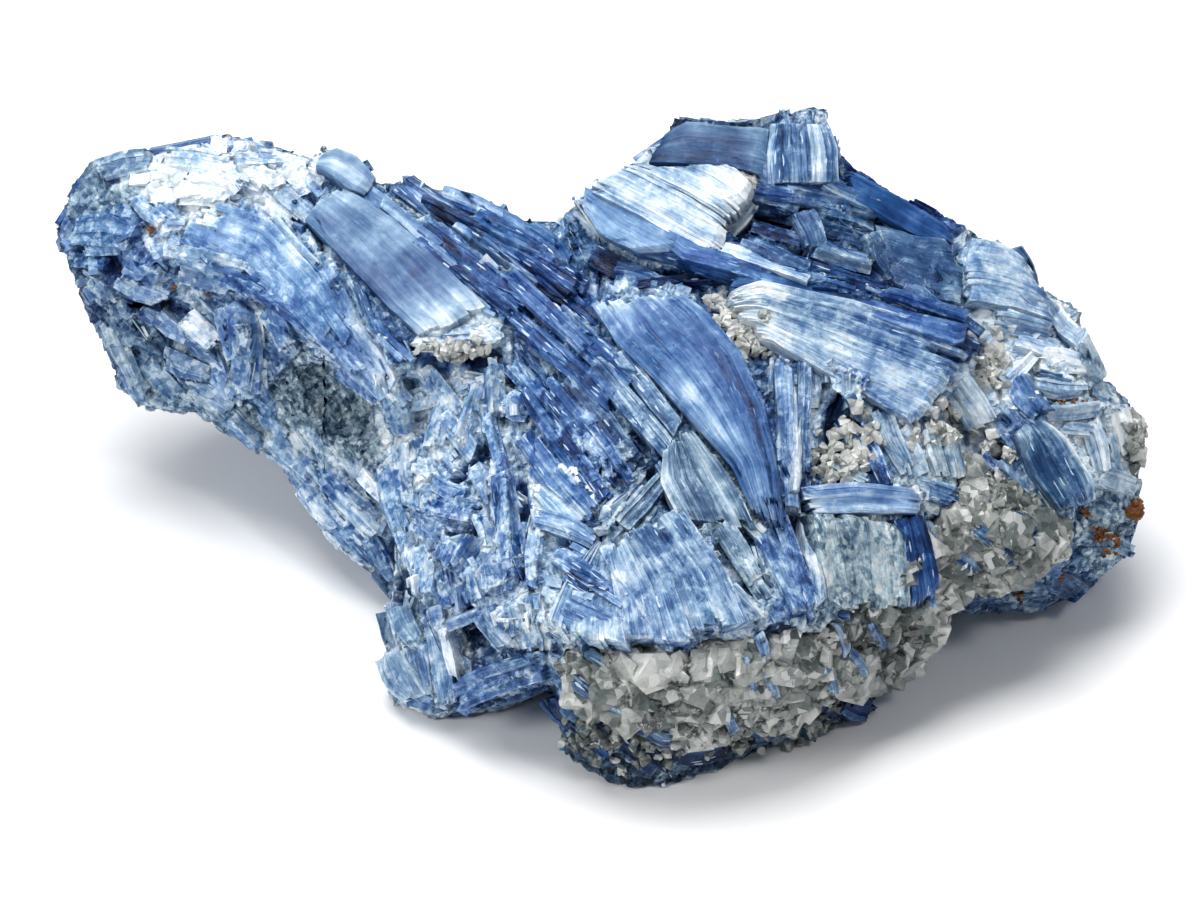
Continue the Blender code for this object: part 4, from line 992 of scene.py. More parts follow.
# Left of the centre: a patchwork of short pale blades, with a pair of long thin upright ones.
lay_blades("centre_left_blades", [
    (-29.0, 10.5, -26.8, 2.0, 3.2, 0.57), (-26.5, 6.5, -18.0, 9.0, 3.0, 0.63),
    (-27.6, 1.0, -26.8, -5.5, 3.0, 0.71), (-15.8, 9.4, -18.8, 0.4, 2.6, 0.55),
    (-19.8, 8.0, -22.8, 0.0, 2.8, 0.63), (-15.4, 5.4, -13.2, -3.6, 1.8, 0.47),
    (-12.6, -1.6, -10.8, -17.2, 1.6, 0.39), (-14.2, -4.0, -12.4, -17.0, 1.6, 0.49),
    (-13.9, 12.0, -13.6, 4.4, 1.8, 0.59, 0.40), (-12.4, 6.4, -9.6, 5.2, 3.8, 0.43),
    (-26.6, -6.0, -17.0, -8.6, 2.8, 0.47), (-26.0, -9.6, -20.0, -12.0, 2.8, 0.53),
    (-19.6, -12.0, -21.6, -15.4, 2.4, 0.37), (-16.2, -11.2, -19.6, -16.6, 3.0, 0.49),
    (-25.6, -13.0, -24.2, -19.4, 3.8, 0.55), (-14.2, -14.6, -13.6, -19.4, 3.6, 0.51),
    (-12.6, -21.0, -11.6, -25.2, 3.4, 0.55, 0.30), (-9.4, -19.4, -9.0, -27.0, 2.8, 0.77),
    (-8.4, -10.0, -8.8, -18.6, 2.2, 0.63), (-22.0, 5.0, -17.0, -1.0, 2.6, 0.67),
    (-25.0, 2.0, -20.0, -3.6, 2.6, 0.54, 0.30), (-17.5, -2.0, -13.5, -9.0, 2.6, 0.53),
    (-24.0, 11.0, -19.0, 5.0, 2.6, 0.59), (-23.0, -4.0, -18.0, -6.0, 2.2, 0.57),
    (-28.5, -7.0, -26.0, -14.0, 2.4, 0.47), (-22.0, -16.0, -20.0, -21.0, 2.4, 0.47),
    (-18.0, -16.5, -16.5, -20.5, 2.0, 0.57), (-10.8, -9.0, -9.6, -16.0, 1.4, 0.57),
    (-16.5, -8.5, -15.0, -13.0, 2.2, 0.47), (-11.5, 2.0, -9.5, -2.0, 1.8, 0.69),
], 28, grey=0.20, frost=0.45, ragged=0.10, lift=0.05, fibre=0.7, relief=0.7, material=KYANITE_GRANULAR)

# The centre: sheaves that fall to the right, dark glassy blades between pale ones.
lay_blades("centre_blades", [
    (-10.8, 9.2, 0.8, -6.8, 3.0, 0.34), (-7.6, 8.8, 3.2, -4.2, 3.2, 0.20),
    (-4.6, 10.4, 5.4, -2.4, 2.8, 0.32, 0.50), (-1.0, 11.6, 9.6, -0.4, 2.8, 0.40, 0.40),
    (-10.4, 2.0, -0.8, -8.6, 3.0, 0.44), (-8.6, -9.0, -0.6, -12.2, 2.8, 0.60),
    (-5.6, -13.4, 3.6, -19.6, 4.0, 0.40), (-4.6, -16.4, 0.6, -19.2, 2.0, 0.08),
    (-5.0, -21.0, 4.8, -24.6, 4.2, 0.56), (-9.0, -2.0, -2.0, -9.6, 2.4, 0.64),
    (2.2, 13.4, 10.6, 2.4, 2.2, 0.40, 0.40), (-12.5, 12.0, -4.0, 3.0, 2.4, 0.38),
    (-6.0, 3.0, 1.0, -6.6, 1.6, 0.12), (-2.5, 5.0, 4.4, -4.4, 1.4, 0.48, 0.20),
    (-8.5, -5.0, -3.5, -10.6, 2.0, 0.68), (2.0, 8.0, 7.6, 0.6, 1.4, 0.50, 0.40),
], 29, frost=0.35, ragged=0.10)

# The star: short blades between the sheets that spread from one point.
lay_blades("star_blades", [
    (3.0, -10.4, 9.4, -2.6, 2.2, 0.45), (16.2, -9.8, 20.8, -17.6, 3.0, 0.56),
    (16.6, -18.4, 21.0, -22.8, 3.0, 0.62, 0.42), (0.6, -12.6, 4.0, -19.4, 1.8, 0.70, 0.22),
    (7.6, -1.8, 9.8, -5.4, 0.9, 0.77, 0.52), (7.4, -13.6, 10.4, -22.6, 1.4, 0.34, 0.22),
    (17.5, -13.0, 22.0, -20.0, 2.2, 0.50), (1.0, -16.0, 6.5, -23.8, 2.0, 0.66, 0.22),
], 30, grey=0.62, frost=0.4, ragged=0.08)

# The foot: a rounded lobe with a striated upright blade and a navy blade across its bottom.
lay_blades("foot_blades", [
    (-22.6, -21.0, -20.6, -34.4, 2.6, 0.59), (-19.6, -33.4, -7.2, -28.6, 4.2, 0.29),
    (-27.6, -20.6, -24.4, -26.4, 3.2, 0.61, 0.50), (-28.6, -27.4, -24.6, -33.6, 4.2, 0.65, 0.40),
    (-20.8, -23.8, -16.0, -21.8, 1.6, 0.55), (-16.4, -21.8, -12.4, -26.4, 2.2, 0.57, 0.40),
    (-25.0, -26.0, -23.4, -33.4, 2.6, 0.49), (-29.4, -22.0, -28.0, -27.0, 2.2, 0.55, 0.60),
    (-19.0, -31.4, -8.0, -27.4, 1.2, 0.59), (-15.0, -34.0, -7.0, -31.6, 2.0, 0.25),
    (-27.0, -33.0, -22.0, -34.6, 1.8, 0.45), (-21.0, -24.0, -19.4, -31.0, 1.4, 0.83),
], 31, grey=0.20, frost=0.4, ragged=0.10, lift=0.3, fibre=0.7)

# The dark ridge above the flat blade: long navy blades, and on top one pale sheet that is a painted
# highlight.
lay_blades("dark_ridge_blades", [
    # The second blade on the next line is the pale sheet: a painted highlight.
    (4.6, 27.6, 15.6, 24.8, 2.4, 0.37), (16.6, 27.6, 28.6, 23.2, 1.6, 0.83),
    (17.4, 22.0, 24.0, 22.6, 2.4, 0.25), (26.0, 25.4, 39.0, 22.0, 2.0, 0.25),
    (38.0, 21.6, 50.0, 17.8, 1.6, 0.31), (-1.5, 27.0, 4.6, 23.6, 3.0, 0.21),
    (2.0, 24.6, 8.0, 22.8, 2.2, 0.35, 0.40), (8.0, 24.6, 15.0, 22.2, 1.8, 0.25, 0.40),
    (40.0, 17.4, 52.0, 13.8, 1.2, 0.21),
], 32, frost=0.2, ragged=0.06)

# The crown: small blades in the cleft between its slab, its block and its column.
lay_blades("crown_blades", [
    (17.2, 43.4, 24.0, 36.8, 3.4, 0.46, 0.45), (18.6, 36.0, 27.0, 34.6, 2.0, 0.32),
    (25.2, 34.8, 38.4, 32.6, 2.2, 0.56), (27.4, 32.6, 29.6, 27.6, 3.0, 0.50, 0.40),
    (29.6, 30.4, 38.0, 27.8, 2.0, 0.46, 0.35), (29.2, 27.4, 37.0, 24.8, 2.0, 0.52, 0.30),
    (19.4, 28.8, 28.6, 24.6, 2.2, 0.32, 0.30), (20.0, 33.4, 27.0, 31.6, 2.2, 0.36, 0.60),
    (30.4, 36.6, 38.0, 33.4, 1.8, 0.52), (31.0, 32.6, 37.6, 30.4, 2.0, 0.40, 0.30),
    (36.4, 29.6, 40.4, 23.0, 2.2, 0.32, 0.50), (16.8, 29.4, 21.0, 34.2, 2.8, 0.94, 0.60),
    (20.6, 30.6, 27.4, 28.4, 1.8, 0.22, 0.30),
], 33, frost=0.3, ragged=0.07, fibre=0.7)

# The right shoulder: short blades round its smooth faces, and pale ones down to the lobe.
lay_blades("right_shoulder_blades", [
    (52.0, 21.2, 60.4, 19.4, 3.0, 0.75), (54.0, 17.6, 61.6, 16.0, 3.0, 0.77),
    (46.0, 25.6, 48.4, 19.6, 2.4, 0.31), (56.6, 27.6, 59.4, 22.0, 2.4, 0.43),
    (41.0, 22.0, 46.0, 19.0, 2.2, 0.47), (58.0, 22.0, 62.6, 18.0, 2.4, 0.71, 0.35),
    (62.0, 19.4, 66.4, 14.6, 2.4, 0.73, 0.35),
], 34, grey=0.30, frost=0.25, ragged=0.1, fibre=0.6)

# The right lobe: pale blocks and bars that crumble toward the edge.
lay_blades("right_lobe_blades", [
    (56.4, 9.6, 60.2, 4.4, 2.8, 0.48), (58.6, 8.8, 66.6, 8.2, 2.4, 0.78),
    (60.6, 5.0, 68.6, 5.8, 2.0, 0.78, 0.30), (55.6, 9.4, 59.2, 12.8, 1.6, 0.82),
    (60.0, 12.4, 66.6, 11.6, 3.4, 0.92), (65.6, 15.4, 69.0, 9.4, 2.4, 0.74, 0.40),
    (66.6, 4.0, 68.6, -3.0, 3.0, 0.80, 0.40), (71.0, 5.6, 72.6, -0.6, 2.6, 0.98, 0.70),
    (68.0, -3.4, 73.6, -5.4, 3.0, 0.76, 0.50), (69.6, -12.6, 73.2, -14.0, 2.0, 0.50, 0.50),
    (56.6, 15.4, 62.6, 13.6, 2.4, 0.82), (62.4, 3.0, 67.0, 2.4, 1.8, 0.72, 0.40),
    (57.0, -13.6, 63.0, -16.2, 3.2, 0.30), (60.4, -17.0, 66.6, -20.2, 3.2, 0.26, 0.40),
    (55.0, -16.0, 61.0, -19.0, 2.2, 0.24, 0.40), (69.6, 2.4, 71.0, -4.0, 1.8, 0.72, 0.50),
    (48.2, 9.2, 52.2, 3.0, 4.4, 0.74, 0.40), (52.0, 13.0, 56.0, 9.6, 2.4, 0.86, 0.50),
], 35, grey=0.20, frost=0.4, ragged=0.12, lift=0.3, fibre=0.5)

# The uprights right of the fan: narrow blades on end, mottled white, in front of a quartz pocket.
lay_blades("upright_blades", [
    (24.8, 11.6, 25.6, -8.6, 2.6, 0.38), (27.6, 13.6, 27.2, -4.0, 2.0, 0.42, 0.35),
    (34.6, 3.6, 38.6, -5.0, 2.2, 0.00), (21.4, -9.8, 27.6, -22.4, 3.0, 0.36),
    (24.0, -9.0, 28.8, -21.6, 2.2, 0.28), (28.8, 12.0, 28.8, 5.0, 1.6, 0.50, 0.45),
    (37.6, 5.6, 41.4, -3.0, 2.6, 0.56, 0.45), (31.0, -1.0, 36.0, -4.0, 2.0, 0.64, 0.55),
    (44.6, 3.0, 46.4, -3.6, 2.2, 0.64, 0.55), (47.2, 2.6, 48.6, -3.8, 1.8, 0.60, 0.55),
    (42.4, -4.8, 49.4, -7.0, 2.6, 0.38, 0.35), (26.2, 9.6, 26.0, -6.0, 0.9, 0.72),
    (40.4, 3.6, 43.6, -3.4, 2.0, 0.64, 0.45),
], 36, grey=0.15, frost=0.5, ragged=0.1)

# Thin blades that stand out of the quartz below the star.
lay_blades("quartz_blades", [
    (26.2, -26.0, 28.6, -35.0, 1.2, 0.42, 0.20), (19.4, -27.0, 20.4, -33.0, 0.9, 0.40, 0.30),
    (24.0, -26.0, 25.6, -31.0, 1.0, 0.52, 0.30), (31.4, -22.6, 32.6, -27.6, 1.2, 0.50, 0.30),
    (20.8, -24.0, 22.0, -28.0, 1.4, 0.62, 0.30), (-3.0, -27.0, 1.0, -28.4, 1.2, 0.50, 0.30),
    (29.0, -27.6, 31.0, -32.4, 1.4, 0.40), (32.6, -26.0, 35.4, -30.0, 1.2, 0.44),
    (22.0, -29.0, 23.6, -33.4, 1.2, 0.50), (16.0, -33.6, 18.0, -37.4, 1.4, 0.36),
    (27.0, -32.0, 28.4, -35.4, 1.4, 0.34), (-4.0, -30.0, 0.0, -33.0, 1.8, 0.34, 0.50),
    (0.0, -34.0, 4.4, -36.0, 1.8, 0.30, 0.50), (-5.0, -34.0, -1.4, -36.4, 1.6, 0.32, 0.50),
    (50.0, -10.0, 53.0, -12.6, 1.6, 0.38), (55.0, -9.0, 58.6, -11.4, 1.8, 0.36),
    (47.6, -14.0, 50.6, -16.6, 1.6, 0.38), (54.0, -13.6, 57.4, -15.0, 2.2, 0.34),
    (49.0, -5.6, 52.6, -6.6, 1.2, 0.50), (58.0, -12.0, 61.0, -14.0, 2.0, 0.34),
    (36.0, -23.0, 38.0, -27.0, 1.2, 0.46), (6.0, -36.6, 10.0, -38.6, 1.6, 0.32, 0.50),
], 40, grey=0.40, frost=0.3, lift=1.0)

# The block at the lower right: thin blades at its two sides.
lay_blades("block_blades", [
    (41.8, -9.2, 44.2, -21.6, 2.2, 0.22, 0.20), (27.6, -8.4, 29.6, -20.4, 2.0, 0.64),
    (43.8, -9.6, 46.4, -18.0, 1.6, 0.52),
], 37, grey=0.50, frost=0.45, ragged=0.05)

# Navy slivers: thin deep blue blades that stand on edge between paler ones.
lay_blades("navy_slivers", [
    (-15.2, 28.2, -5.2, 20.6, 0.9, 0.20), (-24.4, 34.4, -15.4, 29.8, 0.8, 0.22),
    (5.0, 22.4, 20.0, 23.6, 0.9, 0.20), (40.2, -9.0, 45.0, -21.0, 0.8, 0.20),
    (-30.6, 27.4, -25.4, 23.8, 0.8, 0.30), (20.4, 2.4, 24.6, -9.2, 0.7, 0.24),
    (-53.2, 25.2, -46.0, 22.8, 0.8, 0.24), (1.6, 34.6, 6.6, 31.6, 0.5, 0.26),
], 39, frost=0.0, lift=0.75)

# Blocks low on the underside of the front, dull, and tinted dark as painted shade.
lay_blades("lower_front_blades", [
    (-2.6, -36.2, 1.8, -40.6, 3.0, 0.26), (2.6, -38.0, 8.4, -43.4, 3.0, 0.24),
    (33.0, -34.0, 36.6, -35.6, 3.2, 0.26, 0.20), (-7.0, -33.0, -3.0, -37.0, 3.0, 0.28),
    (10.0, -41.0, 17.0, -40.0, 3.0, 0.30, 0.50), (20.0, -39.0, 26.0, -37.0, 3.0, 0.34, 0.50),
    (28.0, -36.5, 33.0, -33.0, 3.0, 0.30, 0.40), (4.0, -35.0, 9.0, -38.0, 3.0, 0.34, 0.50),
], 38, grey=0.30, frost=0.15, ragged=0.2)


# ---------------------------------------------------------------------------------------------
# Broad curved blades. Each is one crystal whose laths run from its left edge line to its right
# edge line, so they draw together or bend with it. Edges are lists of (u, v) from end to end.
BROAD_DEPTH = 3.0  # how deep their sheets reach into the rock


def broad_blade(name, left, right, seed, tint, grey=0.1, frost=0.3, lift=0.7, ragged=0.05,
                bow=0.0, relief=0.8, fibre=1.0, material=KYANITE_CLEAVED):
    """tint is a function of the share across (0 left, 1 right) and the share along."""
    chance = random.Random(seed)
    sheaf = Sheaf()
    shares = np.linspace(0.0, 1.0, 9)
    edge_a, edge_b = along_line(left, shares), along_line(right, shares)
    bed = Bed([tuple(a * (1.0 - s) + b * s) for a, b in zip(edge_a, edge_b) for s in (0.1, 0.5, 0.9)])
    lay_sheet(
        sheaf, bed, left, right, tint, grey, frost, chance, lift=lift, ragged=ragged, bow=bow,
        relief=relief, sheet_depth=BROAD_DEPTH, fibre=fibre, follow=2.0,
    )
    sheaf.finish(name, material)


def near_to(value, centre, reach):
    """1 at the centre, falling to 0 a reach away."""
    return math.exp(-((value - centre) / reach) ** 2)


# The fan: the large curved blade at the centre, bowed, deep blue along its right side.
broad_blade(
    "fan_blade",
    [(-1.0, 19.4), (2.4, 14.0), (8.4, 8.0), (14.6, 0.8), (18.0, -3.0), (21.2, -10.4)],
    [(11.2, 20.8), (14.8, 18.0), (19.4, 12.4), (22.4, 5.0), (24.0, -3.6), (24.6, -10.4)],
    41,
    lambda s, t: (
        0.49 + 0.26 * near_to(t, 0.0, 0.08) - 0.26 * near_to(s, 0.84, 0.22) * near_to(t, 0.62, 0.25)
        - 0.16 * near_to(s, 0.62, 0.3) * near_to(t, 0.30, 0.18) + 0.26 * near_to(s, 0.24, 0.16)
        * near_to(t, 0.58, 0.22) + 0.10 * near_to(s, 0.0, 0.08) + 0.06 * near_to(t, 1.0, 0.12)
    ),
    bow=1.1, frost=0.12, lift=1.9, relief=0.30, ragged=0.03, grey=0.14, fibre=0.7,
)

# The flat blade: a broad pale sheet that runs right and down, white where it starts.
broad_blade(
    "flat_blade",
    [(17.0, 20.8), (21.4, 22.2), (34.0, 19.4), (51.6, 14.2)],
    [(18.4, 16.6), (24.6, 12.8), (33.2, 7.8), (42.8, 2.4)],
    42,
    lambda s, t: 0.60 + 0.26 * near_to(t, 0.0, 0.3) + 0.14 * near_to(s, 0.75, 0.3)
        - 0.20 * near_to(s, 0.1, 0.2) * near_to(t, 0.7, 0.3),
    frost=0.40, lift=2.0, ragged=0.16, relief=0.45, grey=0.26,
)

# The crown slab: a thick pale sheet whose laths run down to the right, in three steps: the broken
# white upper corner, the main face, and a smooth lavender lip at its left.
broad_blade(
    "crown_corner",
    [(16.6, 38.4), (18.8, 37.4), (20.8, 35.4)],
    [(3.4, 38.2), (11.4, 34.4), (18.6, 30.2)],
    43,
    lambda s, t: 0.86 + 0.24 * near_to(t, 1.0, 0.4) * near_to(s, 0.3, 0.4) - 0.12 * near_to(t, 0.1, 0.2),
    frost=0.45, lift=2.4, relief=0.5, ragged=0.08, grey=0.20, fibre=0.6,
)
broad_blade(
    "crown_slab",
    [(4.4, 38.0), (12.0, 34.2), (18.6, 30.0)],
    [(-2.6, 35.6), (5.6, 31.4), (16.0, 25.4)],
    54,
    lambda s, t: 0.78 + 0.14 * near_to(t, 0.9, 0.3) - 0.10 * near_to(s, 0.5, 0.1),
    frost=0.45, lift=2.1, relief=0.6, ragged=0.07, grey=0.10, fibre=0.7,
)
broad_blade(
    "crown_lip",
    [(-1.8, 35.6), (5.2, 32.0), (14.4, 27.0)],
    [(-2.2, 33.0), (0.4, 28.8), (5.6, 26.4)],
    55,
    lambda s, t: 0.62 + 0.14 * near_to(t, 0.0, 0.2),
    frost=0.12, lift=1.9, relief=0.4, ragged=0.05, grey=0.08, fibre=0.35, material=KYANITE_SMOOTH,
)

# The crown's dark block, and the upright column beside it with its bright stripes, partly pale laths and
# partly painted highlights.
broad_blade(
    "crown_block",
    [(8.2, 42.4), (12.0, 44.4), (17.0, 43.9), (23.0, 43.6)],
    [(6.8, 38.8), (12.6, 38.6), (17.6, 38.2), (22.6, 37.2)],
    56,
    lambda s, t: 0.36 + 0.14 * near_to(s, 0.0, 0.12) - 0.16 * near_to(s, 0.85, 0.15)
        + 0.14 * near_to(t, 0.9, 0.15),
    frost=0.0, lift=1.2, relief=0.15, ragged=0.02, grey=0.50, fibre=0.35, material=KYANITE_SMOOTH,
)
broad_blade(
    "crown_column",
    [(22.8, 35.8), (22.6, 40.0), (23.2, 44.3)],
    [(32.4, 36.4), (32.2, 41.0), (31.2, 44.4)],
    57,
    lambda s, t: (
        0.44 + 0.46 * near_to(s, 0.72, 0.07) + 0.30 * near_to(s, 0.62, 0.03) + 0.30 * near_to(s, 0.30, 0.04)
        * near_to(t, 0.8, 0.3) + 0.24 * near_to(s, 0.03, 0.05) + 0.14 * near_to(s, 1.0, 0.1)
    ),
    frost=0.25, lift=1.2, relief=0.5, ragged=0.01, bow=0.5, grey=0.32,
)

# The deep blue block behind the shoulder, smooth and glassy.
broad_blade(
    "deep_block",
    [(32.8, 38.6), (40.0, 34.8), (48.6, 29.8)],
    [(33.6, 34.6), (40.0, 30.8), (47.6, 26.8)],
    58,
    lambda s, t: 0.36 + 0.16 * near_to(s, 0.0, 0.1) - 0.06 * near_to(t, 0.5, 0.3),
    frost=0.0, lift=1.2, relief=0.3, ragged=0.08, grey=0.0, fibre=0.35, material=KYANITE_SMOOTH,
)

# The shoulder: smooth deep blue faces, then a paler cap with frosted patches.
broad_blade(
    "shoulder_face",
    [(37.4, 30.4), (43.4, 28.6), (49.8, 28.6)],
    [(38.8, 23.0), (43.6, 20.4), (49.0, 19.6)],
    62,
    lambda s, t: 0.34 + 0.14 * near_to(t, 1.0, 0.25) - 0.08 * near_to(s, 0.5, 0.3)
        + 0.10 * near_to(s, 1.0, 0.15),
    frost=0.22, lift=1.3, relief=0.4, ragged=0.06, grey=0.45, fibre=0.4, material=KYANITE_SMOOTH,
)
broad_blade(
    "shoulder_cap",
    [(49.6, 29.0), (55.0, 28.0), (60.4, 24.6)],
    [(50.2, 20.2), (56.4, 19.2), (61.8, 17.6)],
    63,
    lambda s, t: 0.66 - 0.14 * near_to(t, 0.0, 0.2) + 0.12 * near_to(s, 0.6, 0.3)
        - 0.16 * near_to(t, 1.0, 0.12),
    frost=0.44, lift=0.9, relief=0.4, ragged=0.08, grey=0.22, fibre=0.5,
)

# The long dark bar over the flat blade, from the crown to the right shoulder, painted paler along its upper
# edge as a painted highlight, and at its left end.
broad_blade(
    "dark_bar",
    [(9.6, 27.6), (20.0, 25.0), (31.0, 22.0), (51.4, 15.8)],
    [(11.6, 25.4), (21.0, 22.6), (32.0, 19.6), (51.8, 13.2)],
    59,
    lambda s, t: 0.24 + 0.20 * near_to(s, 0.0, 0.2) + 0.16 * near_to(t, 0.0, 0.15),
    frost=0.10, lift=2.3, relief=0.6, ragged=0.05, grey=0.05, fibre=0.8,
)

# The blade of the right lobe: dark and finely lined, with a pale crumbled right edge.
broad_blade(
    "right_blade",
    [(55.4, 4.0), (56.6, 1.0), (58.6, -4.0), (62.0, -8.2)],
    [(60.2, 3.8), (63.0, 1.4), (66.2, -3.6), (67.2, -7.4)],
    44,
    lambda s, t: 0.48 - 0.16 * near_to(s, 0.3, 0.3) * near_to(t, 0.4, 0.2) + 0.3 * near_to(s, 1.0, 0.12),
    grey=0.45, frost=0.3, lift=1.3, relief=0.6,
)

# The ridge's broad periwinkle face, with white patches where it is bruised.
broad_blade(
    "ridge_face",
    [(-54.0, 34.6), (-45.0, 31.4), (-38.4, 24.0), (-33.0, 15.6)],
    [(-57.6, 28.4), (-48.6, 24.6), (-41.0, 17.6), (-36.0, 12.4)],
    46,
    lambda s, t: (
        0.50 + 0.26 * near_to(t, 0.22, 0.12) * near_to(s, 0.45, 0.3) + 0.2 * near_to(t, 0.55, 0.08)
        - 0.10 * near_to(s, 1.0, 0.2)
    ),
    frost=0.40, lift=1.1, relief=0.5, ragged=0.12, grey=0.05, fibre=0.4,
)

# The grey slab: one broad smooth smoky face, blue along its lower side.
broad_blade(
    "grey_face",
    [(-36.6, 36.6), (-28.0, 31.0), (-21.0, 24.6), (-14.6, 18.4)],
    [(-40.2, 31.0), (-33.4, 24.0), (-28.4, 18.8), (-24.6, 15.4)],
    47,
    lambda s, t: 0.48 + 0.12 * near_to(s, 0.15, 0.15) + 0.12 * near_to(t, 0.0, 0.15)
        - 0.08 * near_to(t, 0.6, 0.2) + 0.36 * near_to(t, 1.0, 0.14),
    frost=0.05, lift=1.3, relief=0.3, ragged=0.03, grey=0.42, fibre=0.35, material=KYANITE_SMOOTH,
)

# Three sheets that spread downward from the star's centre, and the grey fan above them.
broad_blade(
    "star_left",
    [(-0.2, -12.2), (-4.6, -17.6), (-7.6, -24.4)],
    [(1.4, -12.8), (2.4, -19.0), (3.4, -25.6)],
    48,
    lambda s, t: 0.62 - 0.42 * near_to(t, 0.55, 0.10) * near_to(s, 0.6, 0.2) + 0.14 * near_to(t, 1.0, 0.2),
    frost=0.5, lift=0.4, relief=0.8, ragged=0.10, grey=0.30,
)
broad_blade(
    "star_middle",
    [(0.8, -12.6), (2.0, -18.8), (2.6, -25.8)],
    [(4.6, -10.4), (9.8, -17.4), (12.6, -25.2)],
    49,
    lambda s, t: 0.60 + 0.16 * near_to(t, 0.25, 0.2) - 0.10 * near_to(s, 0.7, 0.2),
    frost=0.45, lift=0.6, relief=0.8, ragged=0.08, grey=0.26,
)
broad_blade(
    "star_right",
    [(4.4, -10.4), (9.0, -17.4), (11.4, -25.2)],
    [(10.6, -7.6), (16.4, -15.6), (19.8, -22.6)],
    50,
    lambda s, t: 0.58 + 0.12 * near_to(t, 1.0, 0.2) - 0.12 * near_to(s, 0.4, 0.15),
    frost=0.40, lift=0.5, relief=0.8, ragged=0.10, grey=0.28,
)
broad_blade(
    "grey_fan",
    [(8.6, 1.0), (8.0, -4.6), (10.4, -9.4)],
    [(12.4, 2.4), (17.8, -4.8), (21.0, -11.0)],
    51,
    lambda s, t: 0.55 + 0.26 * near_to(s, 0.05, 0.1) - 0.16 * near_to(s, 0.45, 0.12)
        + 0.1 * near_to(s, 0.8, 0.1),
    frost=0.25, lift=1.2, relief=0.7, ragged=0.08, grey=0.60,
)

# The block at the lower right: a smooth ledge on a mottled grey face, navy down its right side.
broad_blade(
    "block_ledge",
    [(26.6, -5.2), (34.0, -4.4), (43.4, -5.4)],
    [(27.6, -8.8), (35.0, -8.6), (42.8, -8.6)],
    52,
    lambda s, t: 0.66 + 0.12 * near_to(s, 0.9, 0.2),
    frost=0.15, lift=1.3, relief=0.45, ragged=0.06, grey=0.16, fibre=0.4,
)
broad_blade(
    "block_face",
    [(27.8, -8.6), (29.0, -14.0), (30.2, -20.8)],
    [(40.0, -8.8), (40.8, -15.0), (41.4, -22.2)],
    53,
    lambda s, t: 0.55 + 0.10 * near_to(t, 0.6, 0.3) - 0.10 * near_to(s, 0.3, 0.1),
    frost=0.55, lift=1.0, relief=0.3, ragged=0.08, grey=0.85, fibre=0.6, material=KYANITE_GRANULAR,
)
broad_blade(
    "block_navy",
    [(39.8, -8.8), (40.8, -15.0), (41.4, -21.6)],
    [(42.8, -8.8), (44.2, -14.0), (45.2, -19.6)],
    60,
    lambda s, t: 0.20 + 0.20 * near_to(t, 1.0, 0.2),
    frost=0.20, lift=1.5, relief=0.3, ragged=0.06, grey=0.0,
)

# The tab at the top of the grey slab: a thick pale blade end, square and smooth.
broad_blade(
    "pale_tab",
    [(-38.6, 40.0), (-36.0, 40.8), (-33.4, 39.8), (-30.6, 36.8)],
    [(-38.9, 38.4), (-36.4, 36.8), (-34.4, 35.2), (-32.0, 34.4)],
    45,
    lambda s, t: 0.55 + 0.10 * near_to(s, 0.0, 0.2),
    grey=0.45, frost=0.05, lift=1.5, relief=0.15, ragged=0.02, fibre=0.2, material=KYANITE_SMOOTH,
)


# ---------------------------------------------------------------------------------------------
# Blades of the sides that are turned away, and of the underside: sheets of the same kind, laid a
# few millimetres apart the way the blades grew there.
FRONT_REACH = 9.0  # how far behind the broad face these start
LOOKS_BACK = -0.2  # and how far the skin has to be turned away there
STRAY_END = 1.2  # how far off the skin a corner may come before the sheet is cut shorter
SHORT = 2.0  # a half-length that is too short to lay


def off_skin(place, along, across):
    """How far the furthest corner of a flat sheet is from the skin."""
    corners = [place + along * end + across * side for end in (-1, 1) for side in (-1, 1)]
    return max(SKIN.find_nearest(Vector(corner))[3] for corner in corners)


def lay_side_blades(name, places, seed, gap):
    """Lays a blade at each place that is at least a gap from the ones before it."""
    chance = random.Random(seed)
    sheaf = Sheaf()
    taken = []
    for place, normal in places:
        u, v, w = (float((place - MIDDLE) @ way) for way in (ALONG, UP, OUT))
        if depth(u, v) - w < FRONT_REACH or normal @ OUT > LOOKS_BACK:
            continue
        if any(np.linalg.norm(place - other) < gap for other in taken):
            continue
        taken.append(place)
        run, spread, tint, grey, frost, length, width = growth(place, normal)
        run = turned(run, normal, chance.gauss(0.0, 0.7 * spread))
        half = length * chance.uniform(0.45, 1.0)
        wide = width * chance.uniform(0.5, 1.2)
        while half > SHORT and off_skin(place, run * half, np.cross(normal, run) * wide) > STRAY_END:
            half, wide = half * 0.75, wide * 0.85
        if half <= SHORT:
            continue
        taper, bend = chance.uniform(0.5, 1.0), chance.gauss(0.0, 0.2) * wide
        left = [(-half, wide), (0.0, wide + bend), (half, wide * taper)]
        right = [(-half, -wide), (0.0, bend - wide), (half, -wide * taper)]
        shade = tint + chance.gauss(0.0, 0.08)
        lay_sheet(
            sheaf, SideBed(place, run, normal), left, right, shade, grey, frost, chance,
            lift=chance.uniform(0.0, 0.35), roll=math.radians(chance.gauss(0.0, 4.0)),
            follow=0.1, coarse=1.6,
        )
    sheaf.finish(name, KYANITE_CLEAVED)


lay_side_blades("back_blades", AWAY, 71, 6.0)
lay_side_blades("under_blades", BELOW, 72, 6.5)


# ---------------------------------------------------------------------------------------------
# Quartz. The milky, glassy vein the blades grew through, IOR 1.54: a broken mass with angular
# grains packed over it, smoky in patches.
QUARTZ_IOR = 1.54
QUARTZ_GREYS = [
    (0.00, "40403C"), (0.20, "59605F"), (0.38, "75807F"), (0.55, "A3A8A4"), (0.75, "D2D6D1"),
    (1.00, "FAFAF6"),
]


